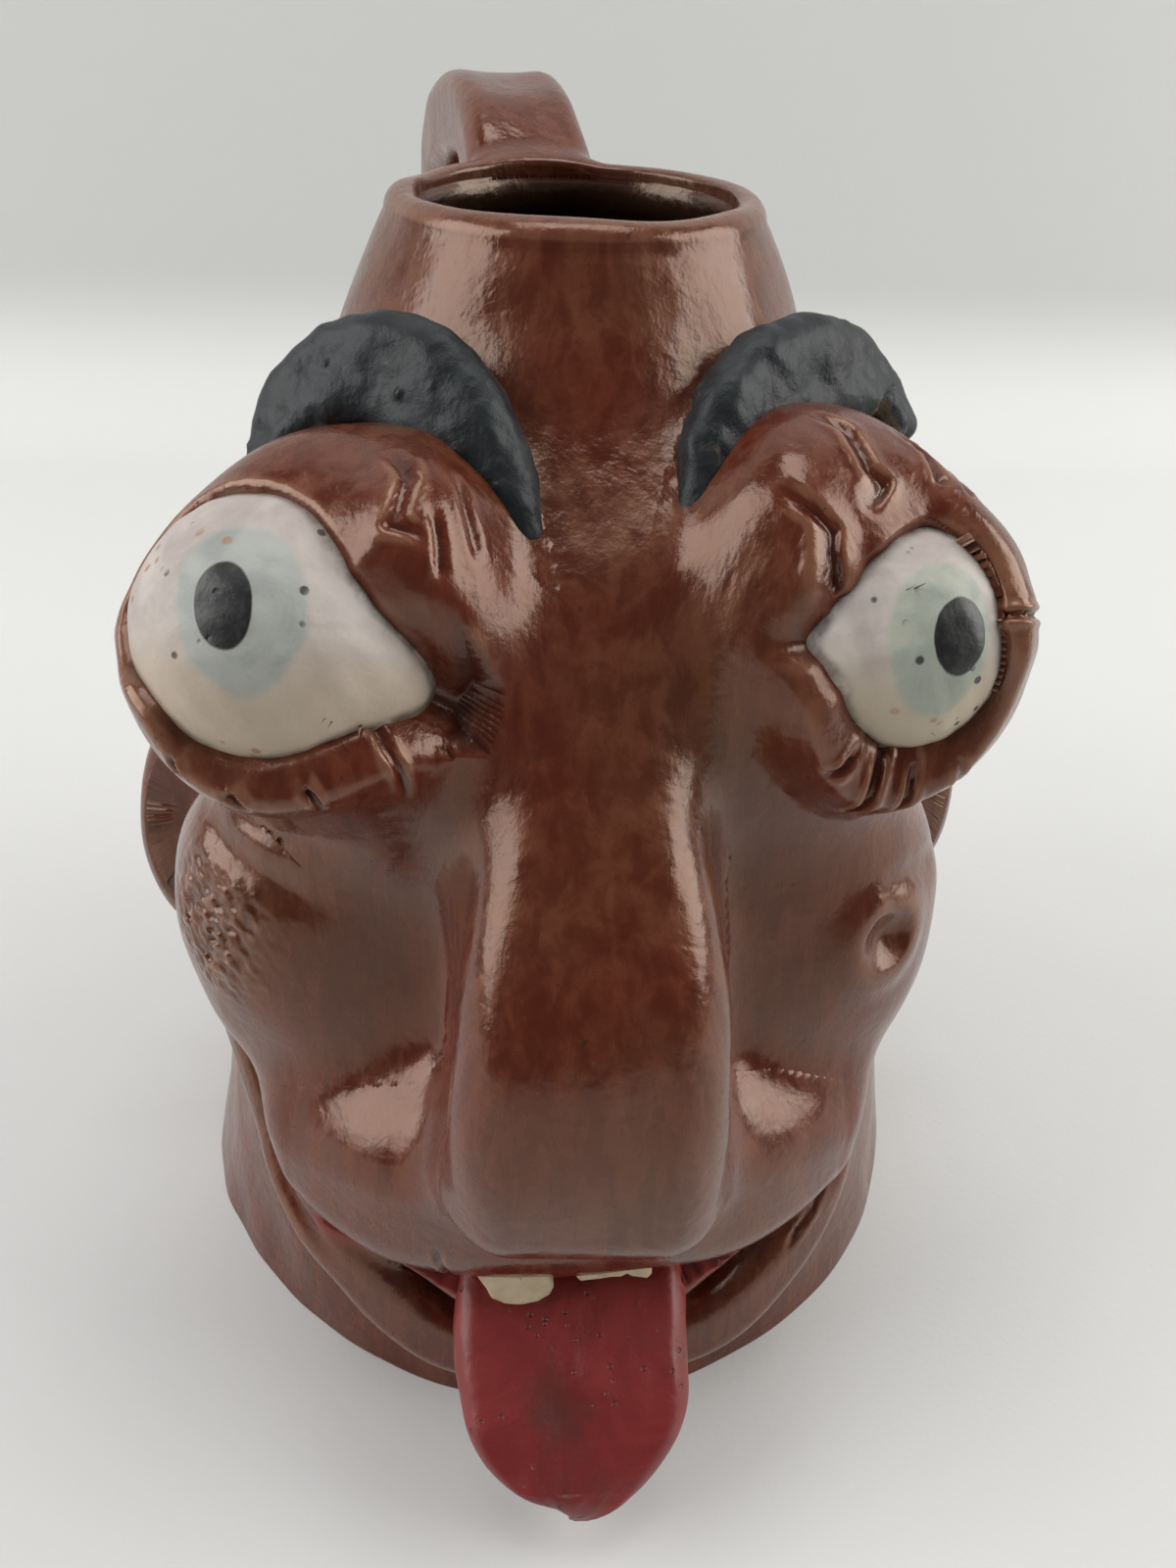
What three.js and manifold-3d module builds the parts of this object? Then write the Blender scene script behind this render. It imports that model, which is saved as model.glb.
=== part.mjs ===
// Hand-built ceramic face mug: a tapering vessel with a strap handle and a modelled clay face.
// Millimetres, +Z up. The origin is the centre of the foot, on the surface that the mug stands on.
// The face looks toward -Y, and left and right are those of a person who stands facing it.

import * as THREE from 'three';
import { mergeVertices } from 'three/addons/utils/BufferGeometryUtils.js';
import ManifoldModule from 'manifold-3d';

const wasm = await ManifoldModule();
wasm.setup();

// Vessel
const bodyHeight = 149.5;
const footRadius = 59.4;
const rimOuterRadius = 22.4;
const wallThickness = 4.4;
const rimDraw = 4.6;
const floorThickness = 7;
const footRounding = 1.5;

// Space left between two pieces that touch
const clearance = 0.3;

// Handle
const handleWidth = 15.6;
const handleThickness = 11;
const handleReach = 76;
const handleRise = 2.5;
const handleFootHeight = 46;
const handleTurn = 11;

// Eyes: height of the eyeballs, measured down from the rim
const eyeDrop = 35;
const leftEyeballRadius = 15;
const rightEyeballRadius = 13.6;
const eyelidThickness = 5.6;

// Nose
const noseRootWidth = 19;
const noseTipWidth = 31;
const noseTipProjection = 12;
const noseTipHeight = 65;

// Cheeks, mouth, ears: heights measured up from the foot
const cheekHeight = 69;
const mouthHeight = 38;
const earHeight = 63;
const lipThickness = 17;
const jawThickness = 9;
const tongueWidth = 30;
const tongueThickness = 8.5;
const leftToothWidth = 11;
const rightToothWidth = 9.6;
const toothThickness = 4.5;
const earLength = 54;
const earThickness = 9;

// Fineness of the curved surfaces
const segmentsRoundVessel = 48;
const segmentsRoundPiece = 16;
const segmentsAlongPiece = 12;
const segmentsRoundLid = 10;

// ---- Shared geometry ------------------------------------------------------------------

const rimRadius = wallThickness / 2;
const wallTop = bodyHeight - rimRadius;
const eyeHeight = bodyHeight - eyeDrop;

// Outer radius of the vessel at a height: a straight cone that is drawn in further at the rim.
function wallRadius(height) {
  const share = THREE.MathUtils.clamp(height, 0, wallTop) / wallTop;
  return footRadius - (footRadius - rimOuterRadius - rimDraw) * share - rimDraw * share ** 12;
}

// A point at an azimuth in degrees from the front toward +X, at a height, off the wall.
function onWall(azimuth, height, standoff) {
  const turn = THREE.MathUtils.degToRad(azimuth);
  const radius = wallRadius(height) + standoff;
  return new THREE.Vector3(radius * Math.sin(turn), -radius * Math.cos(turn), height);
}

// A manifold solid of a closed geometry, swollen along its normals by a distance.
function solidOf(geometry, swell = 0) {
  const bare = new THREE.BufferGeometry();
  bare.setAttribute('position', geometry.attributes.position.clone());
  bare.setIndex(geometry.index);
  const merged = mergeVertices(bare, 1e-3);
  merged.computeVertexNormals();
  const { position, normal } = merged.attributes;
  const moved = Float32Array.from(position.array, (value, i) => value + swell * normal.array[i]);
  const triangles = Uint32Array.from(merged.index.array);
  const mesh = new wasm.Mesh({ numProp: 3, vertProperties: moved, triVerts: triangles });
  return new wasm.Manifold(mesh);
}

// The biggest of the separate lumps that trimming leaves.
function biggestLump(solid) {
  const lumps = solid.decompose();
  return lumps.reduce((best, lump) => (lump.volume() > best.volume() ? lump : best));
}

function geometryOf(solid) {
  const { numProp, vertProperties, triVerts } = solid.getMesh();
  const vertices = new THREE.InterleavedBuffer(vertProperties, numProp);
  const geometry = new THREE.BufferGeometry();
  geometry.setAttribute('position', new THREE.InterleavedBufferAttribute(vertices, 3, 0));
  geometry.setIndex(new THREE.BufferAttribute(triVerts, 1));
  geometry.computeVertexNormals();
  return geometry;
}

const mug = new THREE.Group();
const keepOuts = [];

// Adds a piece: its geometry is trimmed by every piece that is already there, with clearance.
function addPiece(name, material, geometry, { keepOut = geometry, cuts = [] } = {}) {
  let solid = solidOf(geometry);
  for (const cut of cuts) {
    solid = solid.subtract(solidOf(cut));
  }
  for (const taken of keepOuts) {
    solid = solid.subtract(taken);
  }
  keepOuts.push(solidOf(keepOut, clearance));
  const mesh = new THREE.Mesh(geometryOf(biggestLump(solid)), material);
  mesh.name = name;
  mug.add(mesh);
}

// A surface of revolution about +Z from a profile of [radius, height] points.
function revolve(profile) {
  const points = profile.map(([radius, height]) => new THREE.Vector2(radius, height));
  return new THREE.LatheGeometry(points, segmentsRoundVessel).rotateX(Math.PI / 2);
}

// A roll of clay along a spine. The widths lie across it and the thicknesses stand outward,
// both read evenly along the spine. Squareness 2 gives a round section and 4 a boxy one.
// The outward side faces away from the vessel's axis, or along a facing, and a spine that
// lies in one plane can give the direction across it instead.
function clayRoll({
  spine, widths, thicknesses, facing, sideways, squareness = 2, endFullness = 2.6,
  around: aroundCount = segmentsRoundPiece, along: alongCount = segmentsAlongPiece,
}) {
  const line = new THREE.CatmullRomCurve3(spine);
  const size = new THREE.CatmullRomCurve3(
    widths.map((width, i) => new THREE.Vector3(width, thicknesses[i], 0)));
  const geometry = new THREE.SphereGeometry(1, aroundCount, alongCount);
  const { position } = geometry.attributes;
  const power = 2 / squareness;
  for (let i = 0; i < position.count; i += 1) {
    const along = Math.acos(THREE.MathUtils.clamp(position.getY(i), -1, 1)) / Math.PI;
    const around = Math.atan2(position.getZ(i), position.getX(i));
    const taper = Math.pow(1 - Math.pow(Math.abs(2 * along - 1), endFullness), 1 / endFullness);
    const place = line.getPoint(along);
    const { x: width, y: thickness } = size.getPoint(along);
    const tangent = line.getTangent(along);
    const outward = facing ?? new THREE.Vector3(place.x, place.y, 0).normalize();
    const across = sideways ?? new THREE.Vector3().crossVectors(outward, tangent).normalize();
    const proud = new THREE.Vector3().crossVectors(tangent, across);
    const c = Math.cos(around);
    const s = Math.sin(around);
    place.addScaledVector(across, 0.5 * width * taper * Math.sign(c) * Math.abs(c) ** power);
    place.addScaledVector(proud, 0.5 * thickness * taper * Math.sign(s) * Math.abs(s) ** power);
    position.setXYZ(i, place.x, place.y, place.z);
  }
  return geometry;
}

// A rounded pad at a point on the wall, with its half-sizes across, upward and outward.
function clayPad(azimuth, height, standoff, [across, high, proud]) {
  const turn = THREE.MathUtils.degToRad(azimuth);
  const place = onWall(azimuth, height, standoff);
  const geometry = new THREE.SphereGeometry(1, segmentsRoundPiece + 4, segmentsAlongPiece);
  geometry.rotateX(Math.PI / 2).scale(across, proud, high);
  geometry.rotateZ(turn);
  return geometry.translate(place.x, place.y, place.z);
}

// ---- Materials ------------------------------------------------------------------------

const brownGlaze = new THREE.MeshStandardMaterial({ color: 0x7a3a2b, roughness: 0.18 });
const blackGlaze = new THREE.MeshStandardMaterial({ color: 0x14181a, roughness: 0.4 });
const whiteSlip = new THREE.MeshStandardMaterial({ color: 0xd8cfc2, roughness: 0.35 });
const redGlaze = new THREE.MeshStandardMaterial({ color: 0x9c2a30, roughness: 0.45 });
const creamSlip = new THREE.MeshStandardMaterial({ color: 0xe2d2b0, roughness: 0.5 });

// ---- Vessel ---------------------------------------------------------------------------

// The wall is a ring, closed on itself: up the outside, round the rim and down the inside.
function wallProfile() {
  const profile = [[wallRadius(0) - wallThickness, 0], [wallRadius(0) - footRounding, 0]];
  const steps = 11;
  for (let i = 0; i <= steps; i += 1) {
    const height = footRounding + ((wallTop - footRounding) * i) / steps;
    profile.push([wallRadius(height), height]);
  }
  for (let turn = 45; turn <= 135; turn += 45) {
    const angle = THREE.MathUtils.degToRad(turn);
    const middle = rimOuterRadius - rimRadius;
    profile.push([middle + rimRadius * Math.cos(angle), wallTop + rimRadius * Math.sin(angle)]);
  }
  for (let i = steps; i >= 0; i -= 1) {
    const height = (wallTop * i) / steps;
    profile.push([wallRadius(height) - wallThickness, height]);
  }
  return profile;
}

// The space that the vessel takes for the other pieces: its outside, filled in.
function wallKeepOutProfile() {
  const below = -10;
  const profile = [[0, below], [footRadius, below]];
  const steps = 22;
  for (let i = 0; i <= steps; i += 1) {
    const height = (wallTop * i) / steps;
    profile.push([wallRadius(height), height]);
  }
  profile.push([rimOuterRadius, bodyHeight], [0, bodyHeight]);
  return profile;
}

addPiece('vessel_wall', brownGlaze, revolve(wallProfile()), { keepOut: revolve(wallKeepOutProfile()) });

// The floor fits inside the foot of the wall, so it is made apart from the trimming.
const floorRadius = wallRadius(floorThickness) - wallThickness - clearance;
const floor = new THREE.CylinderGeometry(floorRadius, floorRadius, floorThickness, segmentsRoundVessel);
floor.rotateX(Math.PI / 2).translate(0, 0, floorThickness / 2);
const floorMesh = new THREE.Mesh(geometryOf(solidOf(floor)), brownGlaze);
floorMesh.name = 'floor_slab';
mug.add(floorMesh);

// ---- Handle ---------------------------------------------------------------------------

// The strap springs from the neck just under the rim, loops back and lands low on the wall.
function handlePoint(radius, height) {
  return new THREE.Vector3(0, radius, height).applyAxisAngle(
    new THREE.Vector3(0, 0, 1), THREE.MathUtils.degToRad(handleTurn));
}

const handleTop = bodyHeight + handleRise;
const handleLanding = wallRadius(handleFootHeight);
const handleMiddle = (handleTop + handleFootHeight) / 2;
addPiece('handle_strap', brownGlaze, clayRoll({
  spine: [
    handlePoint(rimOuterRadius - 4, bodyHeight - 12),
    handlePoint(rimOuterRadius + 8, handleTop - 2),
    handlePoint(rimOuterRadius + 24, handleTop),
    handlePoint(handleReach - 9, handleTop - 9),
    handlePoint(handleReach, handleMiddle + 16),
    handlePoint(handleReach - 5, handleMiddle - 16),
    handlePoint(handleLanding + 6, handleFootHeight + 6),
    handlePoint(handleLanding - 8, handleFootHeight - 5),
  ],
  widths: Array(8).fill(handleWidth),
  thicknesses: Array(8).fill(handleThickness),
  sideways: new THREE.Vector3(-1, 0, 0).applyAxisAngle(
    new THREE.Vector3(0, 0, 1), THREE.MathUtils.degToRad(handleTurn)),
  squareness: 3.4,
  endFullness: 8,
  around: 12,
  along: 26,
}));

// ---- Eyes -----------------------------------------------------------------------------

// The eyeball is a sphere that is drawn out into a point at the inner corner of the eye.
function eyeball(centre, radius, corner) {
  const geometry = new THREE.SphereGeometry(1, segmentsRoundPiece + 4, segmentsAlongPiece);
  const { position } = geometry.attributes;
  const cornerReach = 0.3 * radius;
  const direction = new THREE.Vector3();
  for (let i = 0; i < position.count; i += 1) {
    direction.fromBufferAttribute(position, i).normalize();
    const pull = Math.max(0, direction.dot(corner)) ** 8;
    direction.multiplyScalar(radius + cornerReach * pull).add(centre);
    position.setXYZ(i, direction.x, direction.y, direction.z);
  }
  return geometry;
}

// A lid is an arc round the gaze. Its angles run from the inner corner over the top of the eye.
function eyelid(eye, centre, startAngle, endAngle) {
  const gaze = new THREE.Vector3(0, -1, 0);
  gaze.applyAxisAngle(new THREE.Vector3(1, 0, 0), -THREE.MathUtils.degToRad(eye.gazeLift));
  gaze.applyAxisAngle(new THREE.Vector3(0, 0, 1), THREE.MathUtils.degToRad(eye.gazeTurn));
  const inner = new THREE.Vector3(0, 0, 1).cross(gaze).normalize().multiplyScalar(eye.innerSign);
  const upper = new THREE.Vector3().crossVectors(gaze, inner).multiplyScalar(eye.innerSign);
  const opening = THREE.MathUtils.degToRad(eye.lidOpening);
  const reach = eye.radius + eyelidThickness / 5;
  const spine = [];
  for (let share = 0; share <= 1; share += 0.125) {
    const angle = THREE.MathUtils.degToRad(startAngle + (endAngle - startAngle) * share);
    const direction = gaze.clone().multiplyScalar(Math.cos(opening));
    direction.addScaledVector(inner, Math.sin(opening) * Math.cos(angle));
    direction.addScaledVector(upper, Math.sin(opening) * Math.sin(angle));
    spine.push(direction.multiplyScalar(reach).add(centre));
  }
  const thicknesses = spine.map(() => eyelidThickness);
  return clayRoll({
    spine, widths: thicknesses, thicknesses, facing: gaze, around: segmentsRoundLid,
  });
}

const eyes = [
  {
    side: 'left', azimuth: -37.3, standoff: 17.8, radius: leftEyeballRadius, innerSign: 1,
    gazeTurn: -6, gazeLift: 38, lidOpening: 78, upperLid: [10, 112], lowerLid: [-12, -128],
    socketTurn: 8, socketDrop: 7, socketStandoff: 7, socket: [19, 20, 15],
  },
  {
    side: 'right', azimuth: 38.2, standoff: 17.3, radius: rightEyeballRadius, innerSign: -1,
    gazeTurn: 6, gazeLift: 28, lidOpening: 74, upperLid: [10, 172], lowerLid: [-10, -172],
    socketTurn: 4, socketDrop: 5, socketStandoff: 7, socket: [19, 22, 15],
  },
];

for (const eye of eyes) {
  eye.centre = onWall(eye.azimuth, eyeHeight, eye.standoff);
  const corner = new THREE.Vector3(0.93 * eye.innerSign, -0.3, -0.25).normalize();
  addPiece(`${eye.side}_eyeball`, whiteSlip, eyeball(eye.centre, eye.radius, corner));
}

for (const eye of eyes) {
  const upperLid = eyelid(eye, eye.centre, ...eye.upperLid);
  const lowerLid = eyelid(eye, eye.centre, ...eye.lowerLid);
  addPiece(`${eye.side}_upper_eyelid`, brownGlaze, upperLid);
  addPiece(`${eye.side}_lower_eyelid`, brownGlaze, lowerLid);
}

// The mound of clay behind each eye is pressed round the ball and its lids.
for (const eye of eyes) {
  const azimuth = eye.azimuth + eye.innerSign * eye.socketTurn;
  const socket = clayPad(azimuth, eyeHeight - eye.socketDrop, eye.socketStandoff, eye.socket);
  addPiece(`${eye.side}_eye_socket`, brownGlaze, socket);
}

// ---- Eyebrows -------------------------------------------------------------------------

// Each brow is a black roll from beside the nose up over the eye, fattest in the middle.
addPiece('left_eyebrow', blackGlaze, clayRoll({
  spine: [
    onWall(-54, eyeHeight + 10, 9),
    onWall(-51, eyeHeight + 17, 6.5),
    onWall(-37, eyeHeight + 21, 5),
    onWall(-23, eyeHeight + 17, 5),
    onWall(-10, eyeHeight + 4, 4),
  ],
  widths: [7, 9, 12, 12, 5],
  thicknesses: [7, 9, 10, 10, 6],
}));
addPiece('right_eyebrow', blackGlaze, clayRoll({
  spine: [
    onWall(65, eyeHeight + 15, 9.5),
    onWall(54, eyeHeight + 20, 6.5),
    onWall(38, eyeHeight + 21, 5),
    onWall(25, eyeHeight + 17, 5),
    onWall(15, eyeHeight + 8, 3.5),
  ],
  widths: [7, 10, 12, 11, 5],
  thicknesses: [7, 9, 10, 9, 6],
}));

// ---- Nose and cheeks ------------------------------------------------------------------

addPiece('nose', brownGlaze, clayRoll({
  spine: [
    onWall(0, eyeHeight + 6, -2),
    onWall(0, (eyeHeight + noseTipHeight) / 2 + 8, 7.5),
    onWall(0, noseTipHeight + 10, noseTipProjection + 5),
    onWall(0, noseTipHeight - 12, noseTipProjection - 1),
  ],
  widths: [noseRootWidth, noseRootWidth + 4, noseTipWidth, noseTipWidth + 1],
  thicknesses: [16, 22, 2 * noseTipProjection, 2 * noseTipProjection + 3],
  squareness: 2.7,
  endFullness: 4,
}));

addPiece('left_cheek', brownGlaze, clayPad(-49, cheekHeight, 3, [17, 20, 11]));
addPiece('right_cheek', brownGlaze, clayPad(47, cheekHeight, 4, [16, 19, 11]));

// ---- Mouth ----------------------------------------------------------------------------

addPiece('upper_lip', brownGlaze, clayRoll({
  spine: [
    onWall(-37, mouthHeight + 4, 3),
    onWall(-19, mouthHeight + 8, 5),
    onWall(0, mouthHeight + 11, 6),
    onWall(18, mouthHeight + 9, 5),
    onWall(35, mouthHeight + 5, 3),
  ],
  widths: [16, 24, 24, 24, 16],
  thicknesses: [12, lipThickness, lipThickness, lipThickness, 12],
}));

const tongueRoot = mouthHeight - 6;
addPiece('tongue', redGlaze, clayRoll({
  spine: [
    onWall(-0.4, tongueRoot + 2, 1),
    onWall(-0.4, tongueRoot - 3, 9),
    onWall(-0.6, tongueRoot - 9, 16.5),
    onWall(-0.8, tongueRoot - 17, 20),
    onWall(-0.8, tongueRoot - 22, 19),
  ],
  widths: [tongueWidth, tongueWidth, tongueWidth, tongueWidth - 4, tongueWidth - 13],
  thicknesses: Array(5).fill(tongueThickness),
  squareness: 2.8,
}));

// The lower lip and the jaw are one roll that hangs from cheek to cheek under the tongue.
addPiece('lower_lip', brownGlaze, clayRoll({
  spine: [
    onWall(-52, cheekHeight - 17, 3),
    onWall(-39, mouthHeight - 1, 4),
    onWall(-24, mouthHeight - 16, 3.5),
    onWall(0, mouthHeight - 25, 2),
    onWall(23, mouthHeight - 16, 3.5),
    onWall(35, mouthHeight - 1, 4),
    onWall(47, cheekHeight - 17, 3),
  ],
  widths: [11, 14, 14, 12, 14, 14, 11],
  thicknesses: [6, jawThickness, jawThickness, jawThickness, jawThickness, jawThickness, 6],
}));

// A tooth is a small block with softened edges that hangs out from under the upper lip.
function tooth(azimuth, width, height, tilt) {
  const softening = 0.8;
  const outline = new THREE.Shape();
  outline.moveTo(-width / 2 + softening, -height + softening);
  outline.lineTo(width / 2 - 2 * softening, -height + softening);
  outline.lineTo(width / 2 - softening, 6);
  outline.lineTo(-width / 2 + softening, 6);
  const geometry = new THREE.ExtrudeGeometry(outline, {
    depth: toothThickness - 2 * softening,
    bevelThickness: softening,
    bevelSize: softening,
    bevelSegments: 2,
  });
  const root = onWall(azimuth, mouthHeight, 7);
  geometry.rotateZ(THREE.MathUtils.degToRad(tilt)).rotateX(Math.PI / 2);
  geometry.rotateZ(THREE.MathUtils.degToRad(azimuth));
  return geometry.translate(root.x, root.y, root.z);
}

addPiece('left_tooth', creamSlip, tooth(-7.6, leftToothWidth, 9.5, -3));
addPiece('right_tooth', creamSlip, tooth(4.6, rightToothWidth, 5.5, 1));

// ---- Ears -----------------------------------------------------------------------------

// An ear is a flat pad that stands out from the wall, with a bowl pressed into its front.
function addEar(name, azimuth, height) {
  const turnToFront = azimuth < 0 ? 1 : -1;
  const ear = clayPad(azimuth, height, 6, [earThickness / 2, earLength / 2, 17]);
  const bowlAzimuth = azimuth + turnToFront * 5;
  const bowl = clayPad(bowlAzimuth, height + 2, 12, [earThickness / 2, earLength / 4, 6]);
  addPiece(name, brownGlaze, ear, { cuts: [bowl] });
}

addEar('left_ear', -94, earHeight);
addEar('right_ear', 96, earHeight + 5);

export default mug;
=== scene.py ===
"""A hand-built face mug: a coned vessel with a face, two ears and a strap handle modelled onto it, glazed and fired."""

import bpy
import numpy as np
from mathutils import Matrix, Vector


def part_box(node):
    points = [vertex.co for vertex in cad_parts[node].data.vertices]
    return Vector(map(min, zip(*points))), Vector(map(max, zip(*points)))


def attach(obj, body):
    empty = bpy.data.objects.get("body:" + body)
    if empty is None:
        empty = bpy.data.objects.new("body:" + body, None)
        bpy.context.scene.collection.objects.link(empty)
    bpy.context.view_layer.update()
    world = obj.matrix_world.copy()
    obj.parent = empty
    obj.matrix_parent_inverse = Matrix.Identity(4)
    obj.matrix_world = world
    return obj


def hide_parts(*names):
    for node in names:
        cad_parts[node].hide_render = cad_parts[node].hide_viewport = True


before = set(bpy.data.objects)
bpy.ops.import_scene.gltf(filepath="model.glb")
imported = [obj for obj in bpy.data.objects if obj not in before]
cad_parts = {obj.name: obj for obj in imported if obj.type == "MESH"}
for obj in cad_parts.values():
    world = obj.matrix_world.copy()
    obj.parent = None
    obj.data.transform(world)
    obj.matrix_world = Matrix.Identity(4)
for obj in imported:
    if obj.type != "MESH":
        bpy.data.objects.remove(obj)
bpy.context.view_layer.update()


# ---- Vessel -----------------------------------------------------------------
# The body is a cone of brown clay with a thick rolled lip, open down to a flat floor.
# Every other lump is pressed onto it while it is soft, so the lumps are described here by
# their distances, and the shared skin is smoothed over all of them once they are in place.


def corners(node):
    """The lowest and the highest corner of a node's box, in millimetres."""
    low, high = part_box(node)
    return np.array(low) * 1000, np.array(high) * 1000


def centre(node):
    """Half the sum of the two corners of a node's box."""
    return sum(corners(node)) / 2


def lengths(vectors):
    """Square root of the sum of squares along the last axis, kept as a column."""
    return np.sqrt((vectors * vectors).sum(-1, keepdims=True))


def unit(vectors):
    """Each vector divided by its own length."""
    vectors = np.asarray(vectors, float)
    return vectors / np.maximum(lengths(vectors), 1e-9)


def ease(low, high, values):
    """Smooth step: three times the square less twice the cube of the share from low to high."""
    share = np.clip((values - low) / (high - low), 0, 1)
    return share * share * (3 - 2 * share)


def outward(azimuth):
    """Level unit vector at an azimuth in degrees, which is 0 at the front and grows towards +X."""
    turn = np.radians(azimuth)
    return np.stack([np.sin(turn), -np.cos(turn), 0 * turn], axis=-1)


vessel_low, vessel_high = corners("vessel_wall")
foot_radius = vessel_high[0] + 0.33
lip_radius = 2.2
lip_height = vessel_high[2] - lip_radius
wall_thickness = 4.4
wall_draft, neck_draw, neck_power = 32.4, 5.4, 10
swell_thickness = 7.0


def wall_radius(height):
    """Foot radius less a straight draft, and less a draw at the neck that grows as the tenth power of the height."""
    share = np.clip(height, 0, lip_height) / lip_height
    return foot_radius - wall_draft * share - neck_draw * share**neck_power


def face_swell(points):
    """Extra clay on the front, eased out round the sides, over the brow and along the jaw's hanging line."""
    azimuth = np.abs(np.degrees(np.arctan2(points[:, 0], -points[:, 1])))
    jaw = 14 + 38 * np.clip(azimuth / 50, 0, 1.6) ** 1.7
    height = points[:, 2]
    below_brow = 1 - ease(88, 132, height)
    return swell_thickness * (1 - ease(34, 72, azimuth)) * ease(jaw - 1, jaw + 7, height) * below_brow


def vessel_distance(points):
    """Level distance to the cone, shortened by its slope, and above the lip's middle the distance to the lip's ring."""
    radius, height = np.hypot(points[:, 0], points[:, 1]), points[:, 2]
    cone = (radius - wall_radius(height) - face_swell(points)) * 0.976
    ring = np.hypot(radius - wall_radius(lip_height) + lip_radius, height - lip_height) - lip_radius
    return np.where(height > lip_height, ring, cone)


def soft_union(first, second, softness):
    """The lesser of two distances, less a quarter of the softness times the square of how nearly they tie."""
    tie = np.maximum(softness - np.abs(first - second), 0) / softness
    return np.minimum(first, second) - tie * tie * softness / 4


lumps = {"vessel_wall": (vessel_distance, vessel_low - 99, vessel_high + 99, 1)}
hollows = []
marks = []
blend_margin = 6


def apart(points):
    """The distance of every point from every lump, one row a lump, with 99 where a lump is out of reach."""
    rows = np.full((len(lumps), len(points)), 99.0)
    for row, (distance, low, high, softness) in zip(rows, lumps.values()):
        margin = blend_margin + softness
        near = np.all((points > low - margin) & (points < high + margin), axis=1)
        if near.any():
            row[near] = distance(points[near])
    return rows


def skin(points):
    """Distance from the smoothed clay: lumps joined softly in turn, hollows taken out, marks pressed in."""
    rows = apart(points)
    whole = rows[0]
    for row, (_, _, _, softness) in zip(rows[1:], list(lumps.values())[1:]):
        whole = soft_union(whole, row, softness)
    for hollow, low, high, softness in hollows:
        near = np.all((points > low) & (points < high), axis=1)
        if near.any():
            whole[near] = -soft_union(-whole[near], hollow(points[near]), softness)
    for mark in marks:
        whole = whole + mark(points)
    return whole, rows


def crossing(inside, outside, value, steps=6):
    """Where value passes zero between two arrays of reaches: regula falsi, with the stale end's value halved."""
    inner, outer = value(inside), value(outside)
    for _ in range(steps):
        share = np.clip(inner / np.where(inner == outer, 1, inner - outer), 0.02, 0.98)
        middle = inside + (outside - inside) * share
        found = value(middle)
        within = found < 0
        inner, outer = np.where(within, found, inner / 2), np.where(within, outer / 2, found)
        inside, outside = np.where(within, middle, inside), np.where(within, outside, middle)
    return (inside + outside) / 2


def waves(points, length, seed):
    """Seven sine waves of one length in scattered directions, summed and divided by the root of seven."""
    scatter = np.random.default_rng(seed)
    directions = unit(scatter.normal(size=(7, 3))) * 2 * np.pi / length
    return np.sin(points @ directions.T + scatter.uniform(0, 2 * np.pi, 7)).sum(-1) / 7**0.5


marks.append(lambda points: 0.24 * waves(points, 27, 1) + 0.1 * waves(points, 11, 2))


def spline(knots):
    """Natural cubic through evenly counted knots: 1, 4, 1 times the second derivatives is six second differences."""
    knots = np.asarray(knots, float)
    count = len(knots)
    system = np.eye(count) * 4 + np.eye(count, k=1) + np.eye(count, k=-1)
    system[0], system[-1] = np.eye(count)[0], np.eye(count)[-1]
    bends = np.zeros_like(knots)
    bends[1:-1] = 6 * (knots[2:] - 2 * knots[1:-1] + knots[:-2])
    bends = np.linalg.solve(system, bends)
    slope = knots[1:] - knots[:-1] - (2 * bends[:-1] + bends[1:]) / 6
    return np.stack([knots[:-1], slope, bends[:-1] / 2, (bends[1:] - bends[:-1]) / 6], axis=1)


def along(curve, place):
    """The cubic's value at a place counted in knots."""
    span = np.clip(place.astype(int), 0, len(curve) - 1)
    share, terms = (place - span)[..., None], curve[span]
    return ((terms[..., 3, :] * share + terms[..., 2, :]) * share + terms[..., 1, :]) * share + terms[..., 0, :]


def heading(curve, place):
    """The cubic's rate of change at a place counted in knots."""
    span = np.clip(place.astype(int), 0, len(curve) - 1)
    share, terms = (place - span)[..., None], curve[span]
    return (3 * terms[..., 3, :] * share + 2 * terms[..., 2, :]) * share + terms[..., 1, :]


def roll(spine, facing, across, thick, corner, crown=0.0):
    """A bar's spline, whose knots hold its spine, its facing, half width, half thickness, corner radius and crown."""
    spine = np.asarray(spine, float)
    ones = np.ones(len(spine))
    facing = np.broadcast_to(np.asarray(facing, float), spine.shape)
    return spline(np.column_stack([spine, facing, across * ones, thick * ones, corner * ones, crown * ones]))


def roll_axes(curve, place):
    """At a place: the knot's values, the unit heading, the facing squared up to it, and the cross of the two."""
    here, going = along(curve, place), unit(heading(curve, place)[..., :3])
    facing = here[..., 3:6] - (here[..., 3:6] * going).sum(-1, keepdims=True) * going
    facing = unit(facing)
    return here, going, facing, np.cross(going, facing)


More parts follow.
